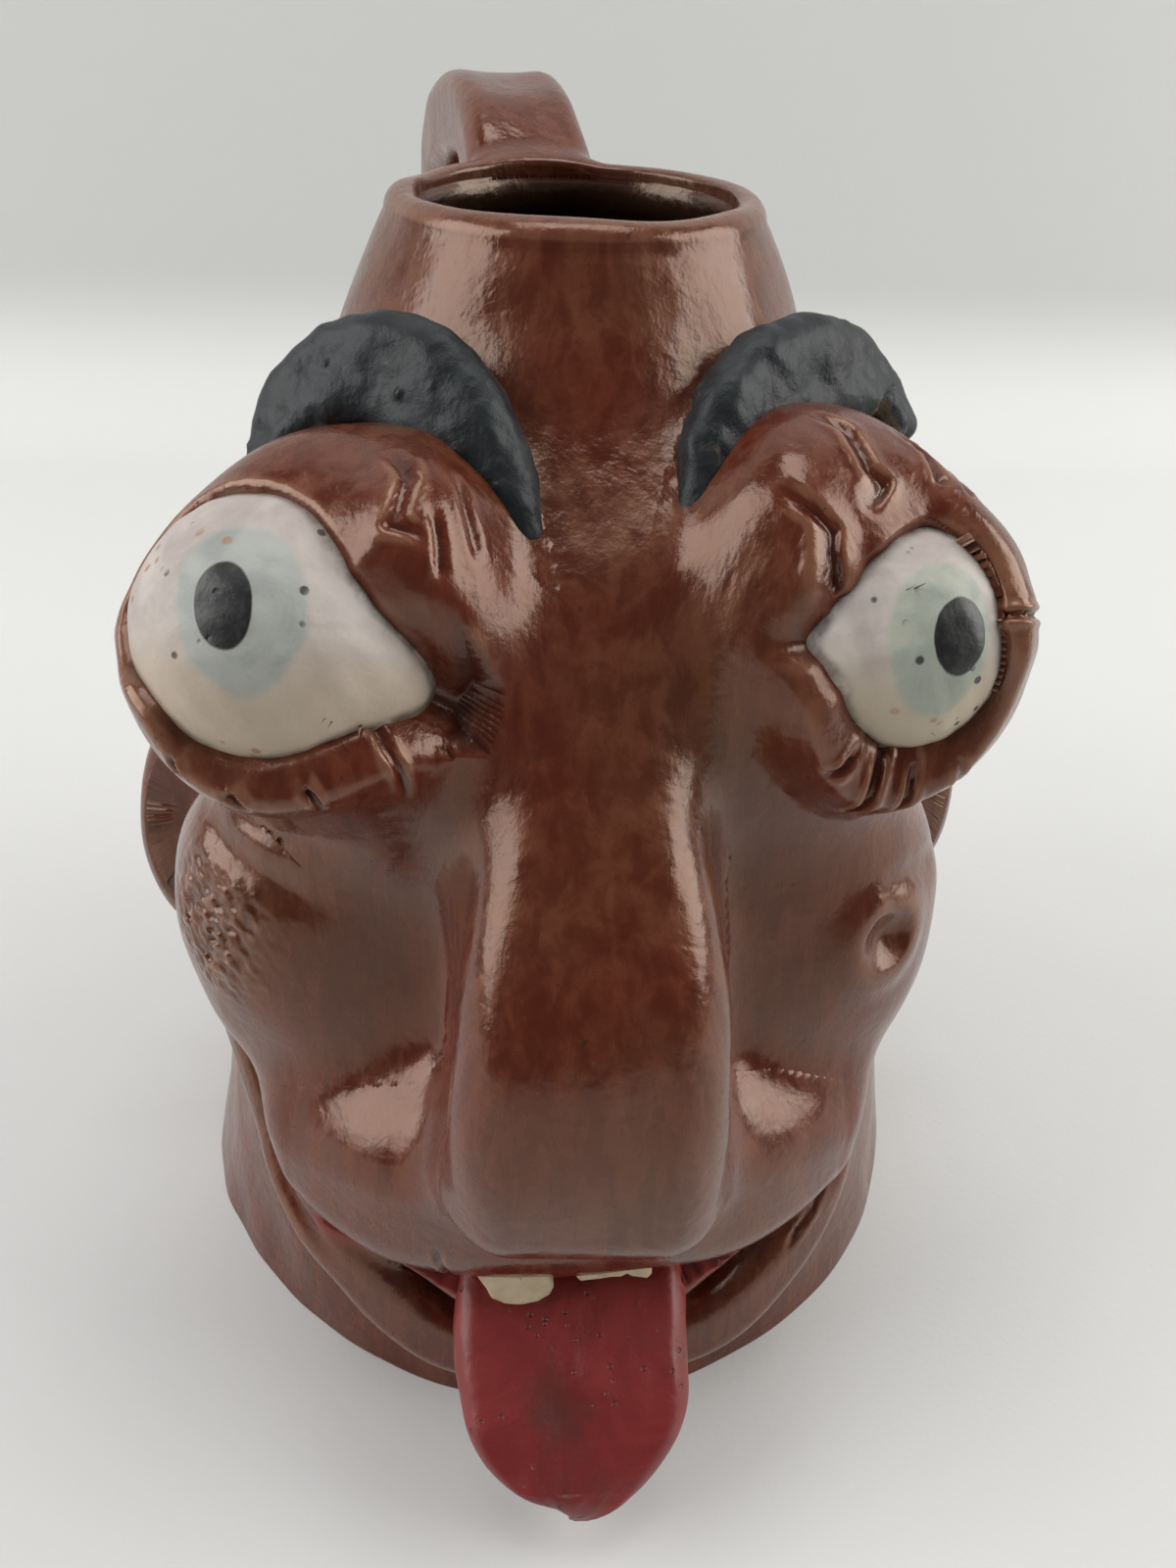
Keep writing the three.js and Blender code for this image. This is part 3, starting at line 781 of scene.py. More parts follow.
for clay_name, clay_curve, clay_rows, clay_columns, clay_cap in [
    ("handle_strap", handle_curve, 250, 110, 14),
    ("nose", nose_curve, 150, 190, 34),
    ("upper_lip", upper_curve, 150, 130, 22),
    ("lower_lip", lower_curve, 330, 84, 10),
    ("left_upper_eyelid", lid_curves["left_upper_eyelid"], 260, 56, 8),
    ("left_lower_eyelid", lid_curves["left_lower_eyelid"], 300, 64, 8),
    ("right_upper_eyelid", lid_curves["right_upper_eyelid"], 260, 64, 8),
    ("right_lower_eyelid", lid_curves["right_lower_eyelid"], 280, 72, 8),
]:
    clay_piece(clay_name, *roll_rays(clay_curve, clay_rows, clay_columns, clay_cap))
for clay_name, clay_axes, clay_halves in [
    ("left_eye_socket", left_socket_axes, left_socket_halves),
    ("right_eye_socket", right_socket_axes, right_socket_halves),
    ("left_cheek", wall_axes(-49), left_cheek_halves),
    ("right_cheek", wall_axes(44), right_cheek_halves),
]:
    clay_middle = (lumps[clay_name][1] + lumps[clay_name][2]) / 2
    clay_piece(clay_name, *pad_rays(clay_middle, clay_axes, clay_halves, 130, 250))
for clay_name, ear_azimuth in (("left_ear", -94), ("right_ear", 96)):
    clay_middle = (lumps[clay_name][1] + lumps[clay_name][2]) / 2
    clay_piece(clay_name, *pad_rays(clay_middle, ear_axes(ear_azimuth), ear_halves, 150, 200))

# The vessel's own section runs under the foot, up the outside, over the lip and down the inside.
turns = np.linspace(-180, 180, 404, endpoint=False)
turns = turns - 26 * np.sin(np.radians(turns))
outer_heights = np.concatenate([[0.0, 0.25, 0.8], np.linspace(1.6, lip_height, 176)])
lip_turns = np.radians(np.linspace(0, 180, 17)[1:-1])
inner_heights = np.linspace(lip_height, 0.4, 46)
ring_radius = wall_radius(lip_height) - lip_radius
section = np.concatenate(
    [
        [[wall_radius(0) - 5.4, 0.0], [wall_radius(0) - 3.0, 0.0]],
        np.column_stack([wall_radius(outer_heights), outer_heights]),
        np.column_stack([ring_radius + lip_radius * np.cos(lip_turns), lip_height + lip_radius * np.sin(lip_turns)]),
        np.column_stack([wall_radius(inner_heights) - wall_thickness, inner_heights]),
    ]
)
section[2:5, 0] -= [1.3, 0.6, 0.15]
leaning = np.zeros((len(section), 2))
leaning[2 : 2 + len(outer_heights)] = [1, 0]
lip_rows = slice(2 + len(outer_heights), 2 + len(outer_heights) + len(lip_turns))
leaning[lip_rows] = np.column_stack([np.cos(lip_turns), np.sin(lip_turns)])
round_out = outward(turns)
base = section[:, None, :1] * round_out[None] + section[:, None, 1:] * np.array([0, 0, 1.0])
lean = leaning[:, None, :1] * round_out[None] + leaning[:, None, 1:] * np.array([0, 0, 1.0])
base, lean = base.reshape(-1, 3), lean.reshape(-1, 3)
moves = lengths(lean)[:, 0] > 0.5
vessel_points = base.copy()
inset = 8.0
vessel_points[moves] = clay_surface(
    "vessel_wall", base[moves] - lean[moves] * inset, lean[moves], inset + face_swell(base[moves])
)
vessel_points[:, 2] = np.maximum(vessel_points[:, 2], 0)
inner_rows = ~moves & (base[:, 2] > 0.3)
inner_out = round_out[np.nonzero(inner_rows)[0] % len(turns)]
vessel_points[inner_rows] += inner_out * (0.35 * waves(base[inner_rows], 24, 8))[:, None]
clay_piece("vessel_wall", None, None, sheet_faces(len(section), len(turns), True)[:, ::-1], vessel_points)


# ---- Brown glaze ------------------------------------------------------------
# One iron glaze covers all of the brown clay: brushed on down the body, it is mahogany red where
# it pools and olive or tan where it runs thin over ridges. The mouth is painted red inside, and painted shade turns the
# vessel's inner wall near black.


class Tone:
    """A socket that carries one number over the surface, so that a pattern is written as a sum."""

    def __init__(self, finish, socket):
        self.finish, self.socket = finish, socket

    def reckon(self, operation, first, second):
        return self.finish.node("ShaderNodeMath", {"operation": operation}, {0: first, 1: second})

    def __add__(self, other):
        return self.reckon("ADD", self, other)

    def __sub__(self, other):
        return self.reckon("SUBTRACT", self, other)

    def __rsub__(self, other):
        return self.reckon("SUBTRACT", other, self)

    def __mul__(self, other):
        return self.reckon("MULTIPLY", self, other)

    def __truediv__(self, other):
        return self.reckon("DIVIDE", self, other)

    def __pow__(self, other):
        return self.reckon("POWER", self, other)

    __radd__ = __add__
    __rmul__ = __mul__


class Finish:
    """A material and the one way in which its nodes are made."""

    def __init__(self, name):
        self.material = bpy.data.materials.new(name)
        self.material.use_nodes = True
        self.tree = self.material.node_tree
        self.tree.nodes.clear()

    def node(self, kind, settings=None, sockets=None, output=0):
        """Adds a node: its settings first, a ramp's stops among them, and then its sockets' values or links."""
        made = self.tree.nodes.new(kind)
        for key, value in (settings or {}).items():
            if key == "stops":
                ramp = made.color_ramp.elements
                while len(ramp) < len(value):
                    ramp.new(1.0)
                for stop, (place, colour) in zip(ramp, value):
                    stop.position, stop.color = place, (*colour, 1)
            else:
                setattr(made, key, value)
        for key, value in (sockets or {}).items():
            if isinstance(value, Tone):
                self.tree.links.new(value.socket, made.inputs[key])
            else:
                made.inputs[key].default_value = value
        return Tone(self, made.outputs[output]) if made.outputs else made

    def place(self, scale=(1, 1, 1), shift=(0, 0, 0), turn=(0, 0, 0)):
        """Object coordinates in metres through a Mapping node."""
        here = self.node("ShaderNodeTexCoord", output="Object")
        return self.node("ShaderNodeMapping", {}, {"Vector": here, "Location": shift, "Rotation": turn, "Scale": scale})

    def noise(self, scale, detail=4.0, rough=0.5, warp=0.0, stretch=(1, 1, 1), shift=(0, 0, 0)):
        """Noise from 0 to 1 on object coordinates, stretched where a brush or a thumb drew it out."""
        sockets = {"Scale": scale, "Detail": detail, "Roughness": rough, "Distortion": warp}
        return self.node("ShaderNodeTexNoise", {}, {"Vector": self.place(stretch, shift), **sockets})

    def rise(self, value, low, high):
        """Smooth step of a value from low to high."""
        settings = {"interpolation_type": "SMOOTHSTEP", "clamp": True}
        return self.node("ShaderNodeMapRange", settings, {0: value, 1: low, 2: high, 3: 0.0, 4: 1.0})

    def patches(self, low, high, *noise):
        """Patches where a noise rises from low to high."""
        return self.rise(self.noise(*noise), low, high)

    def spots(self, scale, inner, outer, shift=(0, 0, 0)):
        """Round spots that fade from an inner to an outer share of their spacing."""
        sockets = {"Vector": self.place((1, 1, 1), shift), "Scale": scale, "Randomness": 1.0}
        return 1 - self.rise(self.node("ShaderNodeTexVoronoi", {"feature": "F1"}, sockets), inner, outer)

    def blend(self, share, first, second):
        """Colour mix; each colour is a link or three numbers."""
        first, second = (c if isinstance(c, Tone) else (*c, 1) for c in (first, second))
        return self.node("ShaderNodeMix", {"data_type": "RGBA"}, {0: share, 6: first, 7: second}, 2)

    def reading(self, name):
        """A number stored at the mesh's points."""
        return self.node("ShaderNodeAttribute", {"attribute_name": name}, output="Fac")

    def surface(self, colour, roughness, height, distance, strength=1.0, **settings):
        """The shader over a height bumped by a distance in metres, and the output, which finish the material."""
        bump = self.node("ShaderNodeBump", {}, {"Height": height, "Distance": distance, "Strength": strength})
        sockets = {key.replace("_", " "): value for key, value in settings.items()}
        sockets = {"Base Color": colour, "Roughness": roughness, "Normal": bump, **sockets}
        shader = self.node("ShaderNodeBsdfPrincipled", {}, sockets)
        self.node("ShaderNodeOutputMaterial", {}, {"Surface": shader})
        return self.material


glaze = Finish("brown_glaze")
streaks = glaze.noise(420, 5, 0.6, 0.4, (1, 1, 0.13))
broad = glaze.noise(34, 3, 0.5, 0.8, (1, 1, 0.45))
clouds = glaze.noise(75, 4, 0.55, 1.6, (1, 1, 0.6), (0.3, 0.1, 0))
ridge = glaze.reading("ridge")
mouth = glaze.reading("mouth")
red_brown = glaze.blend(glaze.rise(streaks, 0.35, 0.68), (0.082, 0.012, 0.005), (0.125, 0.022, 0.009))
olive = glaze.blend(glaze.rise(streaks, 0.35, 0.65), (0.078, 0.022, 0.009), (0.125, 0.042, 0.019))
body_colour = glaze.blend(glaze.rise(broad + streaks * 0.3, 0.50, 0.95), red_brown, olive)
body_colour = glaze.blend(glaze.rise(clouds, 0.45, 0.85) * 0.25, body_colour, (0.16, 0.055, 0.030))
body_colour = glaze.blend(glaze.rise(ridge, 0.06, 0.26) * 0.55, body_colour, (0.26, 0.12, 0.07))
body_colour = glaze.blend(glaze.rise(ridge, -0.05, -0.30) * 0.7, body_colour, (0.045, 0.009, 0.006))
body_colour = glaze.blend(glaze.patches(0.70, 0.76, 900, 2, 0.5) * 0.6, body_colour, (0.03, 0.012, 0.008))
mouth_red = glaze.blend(glaze.noise(150, 4, 0.6), (0.10, 0.008, 0.008), (0.26, 0.02, 0.02))
body_colour = glaze.blend(mouth, body_colour, mouth_red)
# Painted shade: the vessel's inner wall is painted near black.
body_colour = glaze.blend(glaze.reading("inside") * 0.92, body_colour, (0.008, 0.004, 0.003))
peel = glaze.noise(620, 3, 0.55)
drag = glaze.noise(300, 4, 0.6, 0.3, (1, 1, 0.2))
ripples = glaze.noise(120, 3, 0.5, 1.0)
glaze_height = peel * 0.35 + drag * 0.45 + ripples * 0.9
brown_glaze = glaze.surface(
    body_colour,
    0.19 + 0.14 * glaze.rise(streaks + clouds * 0.5, 0.5, 1.0) + 0.1 * mouth,
    glaze_height,
    0.00028,
    IOR=1.62,
    Specular_Tint=(1.0, 0.70, 0.52, 1),
    Coat_Weight=0.22,
    Coat_Roughness=0.07,
)
for glaze_piece in glaze_pieces:
    glaze_piece.data.materials.append(brown_glaze)
floor_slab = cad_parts["floor_slab"]
for floor_slot in floor_slab.material_slots:
    floor_slot.material = brown_glaze


# ---- Eyeballs ---------------------------------------------------------------
# Each eyeball is a ball of white slip drawn out to a point at the inner corner. The iris is a wash of blue-green, the
# pupil a thick spot of black, and grime mixed with painted shade sits along the lids.


def make_eyeball(eye, corner_way, corner_pull):
    """A sphere whose radius grows by a pull times the eighth power of the cosine from the inner corner."""
    rise = np.linspace(0, np.pi, 201)[:, None]
    turn = np.linspace(0, 360, 460, endpoint=False)[None]
    tilt = np.degrees(rise) * np.ones_like(turn)
    ways = eye.direction(turn * np.ones_like(rise), tilt).reshape(-1, 3)
    pull = np.maximum(ways @ unit(corner_way), 0) ** 8 * corner_pull
    rough = 0.10 * waves(ways * 15, 9, 11) + 0.035 * waves(ways * 15, 3.2, 12)
    points = eye.middle + ways * (eye.radius - 0.1 + pull + rough)[:, None]
    piece = mesh_piece(eye.side + "_eyeball", points, sheet_faces(201, 460))
    round_angle, angle, reach = eye.polar(points)
    store(piece, "lid_gap", np.radians(eye.opening(round_angle) - angle) * reach)
    return piece


def eye_finish(name, eye, iris, pupil, iris_colours, cream):
    """White slip, then washes that follow ellipses round the gaze, then specks, and grime with painted shade along the
    lids.
    """
    slip = Finish(name)
    here = slip.node("ShaderNodeTexCoord", output="Object")
    offset = slip.node("ShaderNodeVectorMath", {"operation": "SUBTRACT"}, {0: here, 1: Vector(eye.middle / 1000)})
    way = slip.node("ShaderNodeVectorMath", {"operation": "NORMALIZE"}, {0: offset})
    across, up, ahead = (
        slip.node("ShaderNodeVectorMath", {"operation": "DOT_PRODUCT"}, {0: way, 1: Vector(axis)}, "Value")
        for axis in (eye.inner, eye.upper, eye.gaze)
    )
    wobble = slip.noise(160, 3, 0.5) - 0.5
    fine = slip.noise(900, 3, 0.6) - 0.5

    def ellipse(shape, unevenness):
        """Root of the sum of squares of the two offsets over the half sizes, with noise added to its edge."""
        shift_across, shift_up, half_across, half_up = shape
        squares = ((across - shift_across) / half_across) ** 2 + ((up - shift_up) / half_up) ** 2
        return squares**0.5 + wobble * unevenness

    mottle = slip.noise(110, 5, 0.6, 0.5)
    warm = slip.noise(60, 3, 0.5)
    white = slip.blend(slip.rise(mottle, 0.35, 0.7), (0.40, 0.335, 0.31), (0.56, 0.505, 0.46))
    white = slip.blend(slip.rise(up * -1 + warm * 0.5, 0.15, 0.85) * 0.75, white, cream)
    white = slip.blend(slip.patches(0.60, 0.75, 700, 3, 0.7) * 0.35, white, (0.40, 0.32, 0.25))
    iris_colour = slip.blend(slip.patches(0.35, 0.65, 130, 4, 0.6, 1.0), *iris_colours)
    front = slip.rise(ahead, 0.0, 0.2)
    iris_mask = (1 - slip.rise(ellipse(iris, 0.22), 0.90, 1.06)) * front
    colour = slip.blend(iris_mask * 0.92, white, iris_colour)
    chosen = slip.patches(0.54, 0.60, 90, 2, 0.5, 0, (1, 1, 1), (0.7, 0.2, 0.4))
    speckle = slip.spots(330.0, 0.10, 0.17) * chosen
    colour = slip.blend(speckle * 0.9, colour, (0.02, 0.018, 0.016))
    rusty = slip.patches(0.58, 0.64, 120, 2, 0.5, 0, (1, 1, 1), (0.1, 0.9, 0.4))
    rust = slip.spots(420.0, 0.14, 0.26, (0.4, 0.2, 0.9)) * rusty
    colour = slip.blend(rust * 0.75, colour, (0.35, 0.16, 0.05))
    pupil_mask = (1 - slip.rise(ellipse(pupil, 0.28), 0.95, 1.02)) * front
    pupil_colour = slip.blend(slip.rise(fine + 0.5, 0.45, 0.75), (0.010, 0.010, 0.010), (0.035, 0.033, 0.030))
    colour = slip.blend(pupil_mask, colour, pupil_colour)
    # Patchy darkening along the lid line: partly grime, partly painted shade where the lids meet the eyeball.
    by_lid = 1 - slip.rise(slip.reading("lid_gap") + wobble * 2.6, 0.1, 1.5)
    grime_and_shade = by_lid * slip.patches(0.28, 0.62, 220, 4, 0.65)
    colour = slip.blend(grime_and_shade * 0.85, colour, (0.07, 0.048, 0.036))
    height = slip.noise(260, 4, 0.6) * 0.7 + fine * 0.35 + pupil_mask * 0.55 - speckle * 0.8
    roughness = 0.46 + 0.14 * mottle - 0.14 * pupil_mask
    return slip.surface(colour, roughness, height, 0.00018, IOR=1.5, Coat_Weight=0.12, Coat_Roughness=0.28)


for eye, corner, pull, iris, pupil, iris_colours, cream in [
    (
        left_eye,
        [0.93, -0.3, -0.25],
        2.6,
        (0.0, 0.02, 0.43, 0.55),
        (-0.09, 0.02, 0.20, 0.28),
        ((0.28, 0.305, 0.285), (0.39, 0.405, 0.375)),
        (0.54, 0.43, 0.31),
    ),
    (
        right_eye,
        [-0.9, -0.45, 0.1],
        1.6,
        (0.0, -0.05, 0.40, 0.58),
        (-0.13, -0.05, 0.215, 0.29),
        ((0.31, 0.355, 0.31), (0.43, 0.45, 0.36)),
        (0.54, 0.45, 0.31),
    ),
]:
    ball = make_eyeball(eye, corner, pull)
    ball.data.materials.append(eye_finish(eye.side + "_white_slip", eye, iris, pupil, iris_colours, cream))


# ---- Eyebrows ---------------------------------------------------------------
# Each brow is a flat black strap laid over the eye like a visor. Its glaze is thick and satin,
# blistered along the top, and worn to bare tan clay along the lower edge.


def own_surface(curve, rows, columns, cap, relief):
    """A bent bar's closed surface, found along rays from its spine and then raised by a relief."""
    starts, ways, faces = roll_rays(curve, rows, columns, cap)
    points = starts + ways * own_reach(roll_distance(curve), starts, ways, 30.0, 12)[:, None]
    return points + ways * relief(points)[:, None], faces


def blisters(spots, sizes, heights):
    """Bell-shaped bumps: the greatest of each height times a bell of the distance from its spot over its size."""

    def relief(points):
        """All spots at once, for each point."""
        gaps = lengths(points[:, None] - spots[None])[..., 0] / sizes
        return (heights * np.exp(-gaps * gaps)).max(1)

    return relief


def make_brow(name, middle, spine, across, thick, proud, seed):
    """The strap, with blisters strewn over its top edge and front, and a soft hammered surface."""
    spine = middle + np.array(spine)
    facing = unit(unit(spine * [1, 1, 0]) + [0, 0, 0.35])
    spine = spine + facing * np.array(proud)[:, None]
    curve = roll(spine, facing, across, thick, np.array(thick) * 0.9)
    scatter = np.random.default_rng(seed)
    blister_count, edge_blisters, columns = 54, 26, 110
    place = scatter.uniform(0.15, len(curve) - 0.3, blister_count)
    here, _, face, side = roll_axes(curve, place)
    along_edge, over_front = scatter.normal(0.35, 0.18, blister_count), scatter.uniform(0.3, 2.6, blister_count)
    turn = np.where(np.arange(blister_count) < edge_blisters, along_edge, over_front)
    spots = here[:, :3] + np.cos(turn)[:, None] * side * here[:, 6:7] + np.sin(turn)[:, None] * face * here[:, 7:8]
    bumps = blisters(spots, scatter.uniform(0.28, 0.55, blister_count), scatter.uniform(0.15, 0.42, blister_count))

    def relief(points):
        """The blisters, and two sizes of waves."""
        return bumps(points) + 0.16 * waves(points, 6.5, seed) + 0.07 * waves(points, 2.6, seed + 1)

    points, faces = own_surface(curve, 330, columns, 12, relief)
    piece = mesh_piece(name, points, faces)
    round_section = np.tile(np.linspace(0, 2 * np.pi, columns, endpoint=False), len(points) // columns)
    store(piece, "low_edge", -np.cos(round_section) * (1 if side[:, 2].mean() > 0 else -1))
    store(piece, "front", np.sin(round_section))
    return piece


left_brow = make_brow(
    "left_eyebrow",
    centre("left_eyebrow"),
    [
        [-14.6, 2.6, -4.2], [-11.6, 3.6, 1.8], [-6.3, 3.0, 5.6], [0.2, 0.2, 6.4],
        [5.6, -3.6, 3.8], [9.8, -6.6, -2.0], [12.6, -8.6, -8.6], [13.7, -9.6, -13.6],
    ],
    [3.4, 4.6, 5.5, 6.0, 5.8, 4.8, 3.5, 1.7],
    [2.4, 2.9, 3.2, 3.4, 3.3, 3.0, 2.4, 1.6],
    [-2.0, -2.2, -2.2, -2.0, -1.4, -0.2, 1.6, 3.0],
    21,
)
right_brow = make_brow(
    "right_eyebrow",
    centre("right_eyebrow"),
    [
        [-12.6, -10.8, -11.0], [-10.4, -8.6, -3.6], [-7.2, -5.8, 1.6], [-2.5, -1.9, 4.2],
        [4.6, 3.4, 4.6], [11.2, 7.2, 1.4], [13.8, 5.2, -1.6],
    ],
    [1.8, 3.8, 5.2, 5.8, 5.6, 4.4, 3.0],
    [1.7, 2.6, 3.1, 3.4, 3.3, 2.8, 2.2],
    [2.6, 0.8, -1.0, -2.0, -2.2, -2.2, -1.8],
    22,
)
satin = Finish("black_glaze")
soot = satin.noise(240, 4, 0.6)
worn = satin.reading("low_edge") + (satin.noise(180, 4, 0.6) - 0.5) * 0.55
bare = satin.rise(worn, 0.86, 1.02) * satin.rise(satin.reading("front"), -0.75, -0.2)
brow_colour = satin.blend(satin.rise(soot, 0.3, 0.7), (0.010, 0.012, 0.014), (0.026, 0.031, 0.034))
brow_colour = satin.blend(satin.patches(0.62, 0.75, 800, 3, 0.6) * 0.5, brow_colour, (0.055, 0.06, 0.062))
brow_colour = satin.blend(bare * 0.85, brow_colour, (0.22, 0.17, 0.12))
hammering = satin.noise(500, 4, 0.6) + satin.noise(170, 3, 0.5) * 1.2
satin_roughness = 0.36 + 0.2 * soot + 0.25 * bare
black_glaze = satin.surface(
    brow_colour, satin_roughness, hammering, 0.00028, IOR=1.36, Coat_Weight=0.05, Coat_Roughness=0.22
)
for brow in (left_brow, right_brow):
    brow.data.materials.append(black_glaze)


# ---- Tongue -----------------------------------------------------------------
# The tongue is a thick slab of clay painted red. It comes out of the mouth over the lower lip,
# hangs clear of the foot and ends in a broad tip cut to a half ellipse, dished along its middle.

tongue_middle = centre("tongue")
tongue_end = tongue_middle + [-0.7, -9.9, -10.6]
tongue_curve = roll(
    [*(tongue_middle + [[0.3, 15.4, 3.4], [0.2, 8.2, 1.8], [0.2, 0.6, -2.0], [-0.2, -5.8, -6.8]]), tongue_end],
    [[0, -0.25, 1], [0, -0.4, 1], [0, -0.8, 1], [0, -1.1, 0.7], [0, -1.3, 0.5]],
    [15.0, 15.4, 15.2, 15.0, 14.6],
    [4.4, 4.3, 4.2, 4.0, 3.3],
    [3.4, 3.4, 3.4, 3.5, 3.2],
    [-0.5, -0.6, -0.4, 0.1, 0.3],
)


def tongue_relief(points):
    """Slow waves, a shallow crease down the middle, and a raised fold along the right-hand edge."""
    x = points[:, 0] - tongue_middle[0]
    crease = -0.35 * np.exp(-(((x + 0.6) / 2.6) ** 2)) * (points[:, 2] > tongue_middle[2] - 8)
    fold = 0.35 * np.exp(-(((x - 12.6) / 1.1) ** 2)) - 0.3 * np.exp(-(((x - 10.9) / 0.9) ** 2))
    fold = fold * ease(-8, 2, points[:, 2] - tongue_middle[2])
    return crease + fold + 0.22 * waves(points, 13, 31) + 0.06 * waves(points, 4, 32)


tongue_points, tongue_faces = own_surface(tongue_curve, 220, 210, 40, tongue_relief)
tongue_way = unit(heading(tongue_curve, np.array([4.0]))[0, :3])
tip_length, tip_overrun = 17, 3.2
past_end = (tongue_points - tongue_end) @ tongue_way
tip_share = np.clip((tip_length - tip_overrun + past_end) / tip_length, 0, 0.998)
tongue_points[:, 0] = tongue_end[0] + (tongue_points[:, 0] - tongue_end[0]) * (1 - tip_share**2) ** 0.5
tongue = mesh_piece("tongue", tongue_points, tongue_faces)
paint = Finish("red_glaze")
wash = paint.noise(70, 5, 0.6, 0.8)
pores = paint.spots(480.0, 0.08, 0.2) * paint.patches(0.5, 0.58, 140, 2, 0.5)
smudge = paint.patches(0.58, 0.74, 52, 3, 0.6, 0.5, (1, 1, 1), (0.02, 0.33, 0.1))
tongue_colour = paint.blend(paint.rise(wash, 0.3, 0.7), (0.155, 0.010, 0.009), (0.25, 0.022, 0.019))
tongue_colour = paint.blend(smudge * 0.7, tongue_colour, (0.09, 0.022, 0.016))
tongue_colour = paint.blend(pores * 0.7, tongue_colour, (0.10, 0.012, 0.010))
grain = paint.noise(260, 5, 0.6) + paint.noise(800, 3, 0.6) * 0.3 - pores * 0.8
red_glaze = paint.surface(
    tongue_colour, 0.40 + 0.16 * wash, grain, 0.00030, IOR=1.5, Coat_Weight=0.18, Coat_Roughness=0.25
)
tongue.data.materials.append(red_glaze)


# ---- Teeth ------------------------------------------------------------------
# Two broken teeth of pale clay are pushed up behind the upper lip: a long one with chipped
# corners on the left, and a short one snapped off level and cracked on the right.


def make_tooth(name, outline, thickness, lean, seed):
    """A slab whose outline is a closed line of points, shrunk towards both faces by a quarter-circle rounding."""
    middle = centre(name)
    outline = np.array(outline, float)
    lengths_round = np.concatenate([[0], np.cumsum(lengths(np.roll(outline, -1, 0) - outline)[:, 0])])
    columns = 240
    stations = np.linspace(0, lengths_round[-1], columns, endpoint=False)
    closed = np.vstack([outline, outline[:1]])
    ring = np.column_stack([np.interp(stations, lengths_round, closed[:, k]) for k in (0, 1)])
    heart = outline.mean(0)
    depth = thickness / 2
    rows = []
    for share in np.concatenate([np.linspace(0, 0.94, 16), np.linspace(0.95, 1, 6)]):
        rows.append((share, -depth + 0.5 * (1 - np.sqrt(max(1 - max((share - 0.9) / 0.1, 0) ** 2, 0)))))
    rows += [(share, -y) for share, y in rows[::-1]]
    slices = [np.column_stack([heart + (ring - heart) * share, np.full(columns, y)]) for share, y in rows]
    flat = np.concatenate(slices)
    points = np.column_stack([flat[:, 0], flat[:, 2] + lean * flat[:, 1], flat[:, 1]]) + middle
    sway, dent = 0.05 * waves(points, 2.5, seed), 0.12 * waves(points, 3.1, seed + 1)
    points = points + np.column_stack([sway, dent, 0 * flat[:, 0]])
    piece = mesh_piece(name, points, sheet_faces(len(rows), columns))
    return piece


left_tooth = make_tooth(
    "left_tooth",
    [
        (-5.6, 7.0), (-5.6, 1.2), (-3.9, -2.4), (-2.6, -5.6), (-1.0, -6.9), (1.6, -7.0),
        (3.4, -6.6), (5.0, -5.2), (5.4, -4.0), (4.9, -2.2), (5.2, 0.4), (5.2, 7.0),
    ],
    thickness=4.2,
    lean=0.10,
    seed=41,
)
right_tooth = make_tooth(
    "right_tooth",
    [
        (-4.9, 4.6), (-4.8, -3.6), (-4.4, -4.3), (-0.6, -4.2), (1.0, -4.0),
        (1.9, -3.4), (2.6, -4.0), (4.5, -4.1), (4.9, -3.5), (4.8, 4.6),
    ],
    thickness=4.2,
    lean=0.08,
    seed=43,
)
enamel = Finish("cream_slip")
stain = enamel.noise(230, 5, 0.65, 0.6)
tooth_colour = enamel.blend(enamel.rise(stain, 0.35, 0.7), (0.66, 0.55, 0.38), (0.56, 0.43, 0.26))
tooth_colour = enamel.blend(enamel.patches(0.64, 0.72, 420, 4, 0.7, 1.2) * 0.6, tooth_colour, (0.16, 0.10, 0.05))
pitting = enamel.noise(420, 5, 0.6) + stain
cream_slip = enamel.surface(
    tooth_colour, 0.5 + 0.15 * stain, pitting, 0.0002, IOR=1.5, Coat_Weight=0.1, Coat_Roughness=0.3
)
for tooth in (left_tooth, right_tooth):
    tooth.data.materials.append(cream_slip)


# ---- Table, light and camera ------------------------------------------------
# The mug stands on a pale sheet that runs back over a table and bends up into a backdrop, in
# soft studio light, and is seen from the front and above.

bend_turns = np.radians(np.linspace(0, 90, 25))
bend_start, bend_radius = 0.31, 0.06
bend = np.column_stack([bend_start + bend_radius * np.sin(bend_turns), bend_radius - bend_radius * np.cos(bend_turns)])
sweep = np.concatenate([[[-4.0, 0.0]], bend, [[bend_start + bend_radius, 0.9]]])
sweep_points = [(x, y, z) for x in (-3.0, 3.0) for y, z in sweep]
sweep_faces = [(k, k + len(sweep), k + len(sweep) + 1, k + 1) for k in range(len(sweep) - 1)]
table_mesh = bpy.data.meshes.new("table")
table_mesh.from_pydata(sweep_points, [], sweep_faces)
table_mesh.polygons.foreach_set("use_smooth", np.ones(len(sweep_faces), bool))
table = bpy.data.objects.new("table", table_mesh)
bpy.context.scene.collection.objects.link(table)
cloth = Finish("pale_cloth")
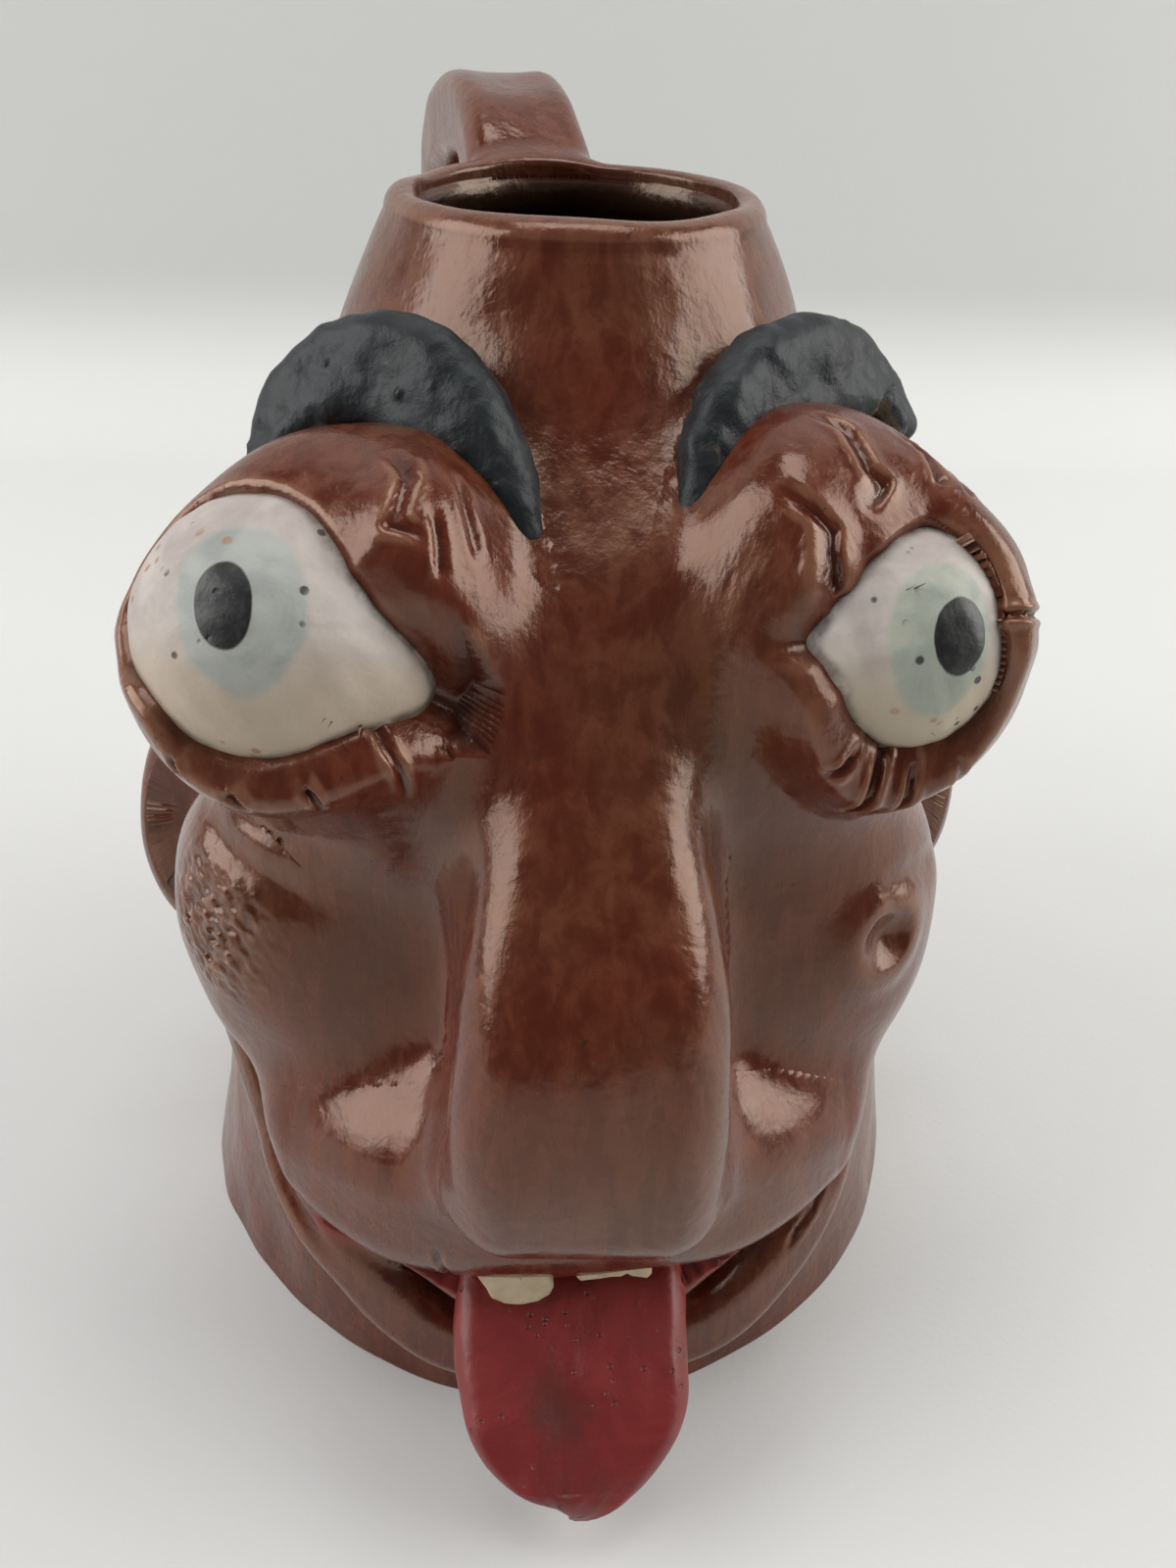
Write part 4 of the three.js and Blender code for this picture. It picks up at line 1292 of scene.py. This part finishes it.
cloth_height = cloth.node("ShaderNodeSeparateXYZ", {}, {0: cloth.node("ShaderNodeTexCoord", output="Object")}, 2)
# The sheet is painted darker where it rises into the backdrop: painted shade on the upright part of one pale cloth.
cloth_colour_with_painted_shade = cloth.blend(cloth.rise(cloth_height, 0.015, 0.06), (0.70, 0.70, 0.69), (0.58, 0.585, 0.575))
table_mesh.materials.append(cloth.surface(cloth_colour_with_painted_shade, 0.85, cloth.noise(900, 2, 0.5), 0.0001, 0.4))

world = bpy.data.worlds.new("studio")
world.use_nodes = True
sky = world.node_tree.nodes["Background"].inputs
sky["Color"].default_value, sky["Strength"].default_value = (0.92, 0.96, 1.0, 1), 0.11
bpy.context.scene.world = world

mug_middle = Vector((0, 0, 0.075))
for light_name, light_place, light_size, light_power, light_colour in [
    ("window_left", (-0.75, -0.12, 0.48), (0.62, 0.72), 5.6, (1.0, 0.99, 0.98)),
    ("window_right", (0.78, -0.08, 0.48), (0.62, 0.72), 6.2, (1.0, 0.99, 0.96)),
    ("ceiling", (0.0, 0.05, 1.15), (0.7, 0.5), 4.2, (1.0, 1.0, 1.0)),
]:
    lamp = bpy.data.lights.new(light_name, "AREA")
    lamp.shape, lamp.size, lamp.size_y = "RECTANGLE", *light_size
    lamp.energy, lamp.color = light_power, light_colour
    holder = bpy.data.objects.new(light_name, lamp)
    holder.location = light_place
    holder.rotation_euler = (mug_middle - Vector(light_place)).to_track_quat("-Z", "Y").to_euler()
    bpy.context.scene.collection.objects.link(holder)

camera_data = bpy.data.cameras.new("camera")
camera_data.lens, camera_data.sensor_width, camera_data.sensor_fit = 27.045, 36, "AUTO"
camera_data.clip_start = 0.01
camera = bpy.data.objects.new("camera", camera_data)
camera_back = -Vector((0.07098, 0.81136, -0.58022))
camera_up = Vector((0.00760, 0.58123, 0.81370))
camera_right = camera_up.cross(camera_back).normalized()
camera_up = camera_back.cross(camera_right).normalized()
camera_turn = Matrix((camera_right, camera_up, camera_back)).transposed().to_4x4()
camera.matrix_world = Matrix.Translation(Vector((-0.00875, -0.146553, 0.171926))) @ camera_turn
bpy.context.scene.collection.objects.link(camera)
bpy.context.scene.camera = camera
bpy.context.scene.view_settings.view_transform = "Standard"
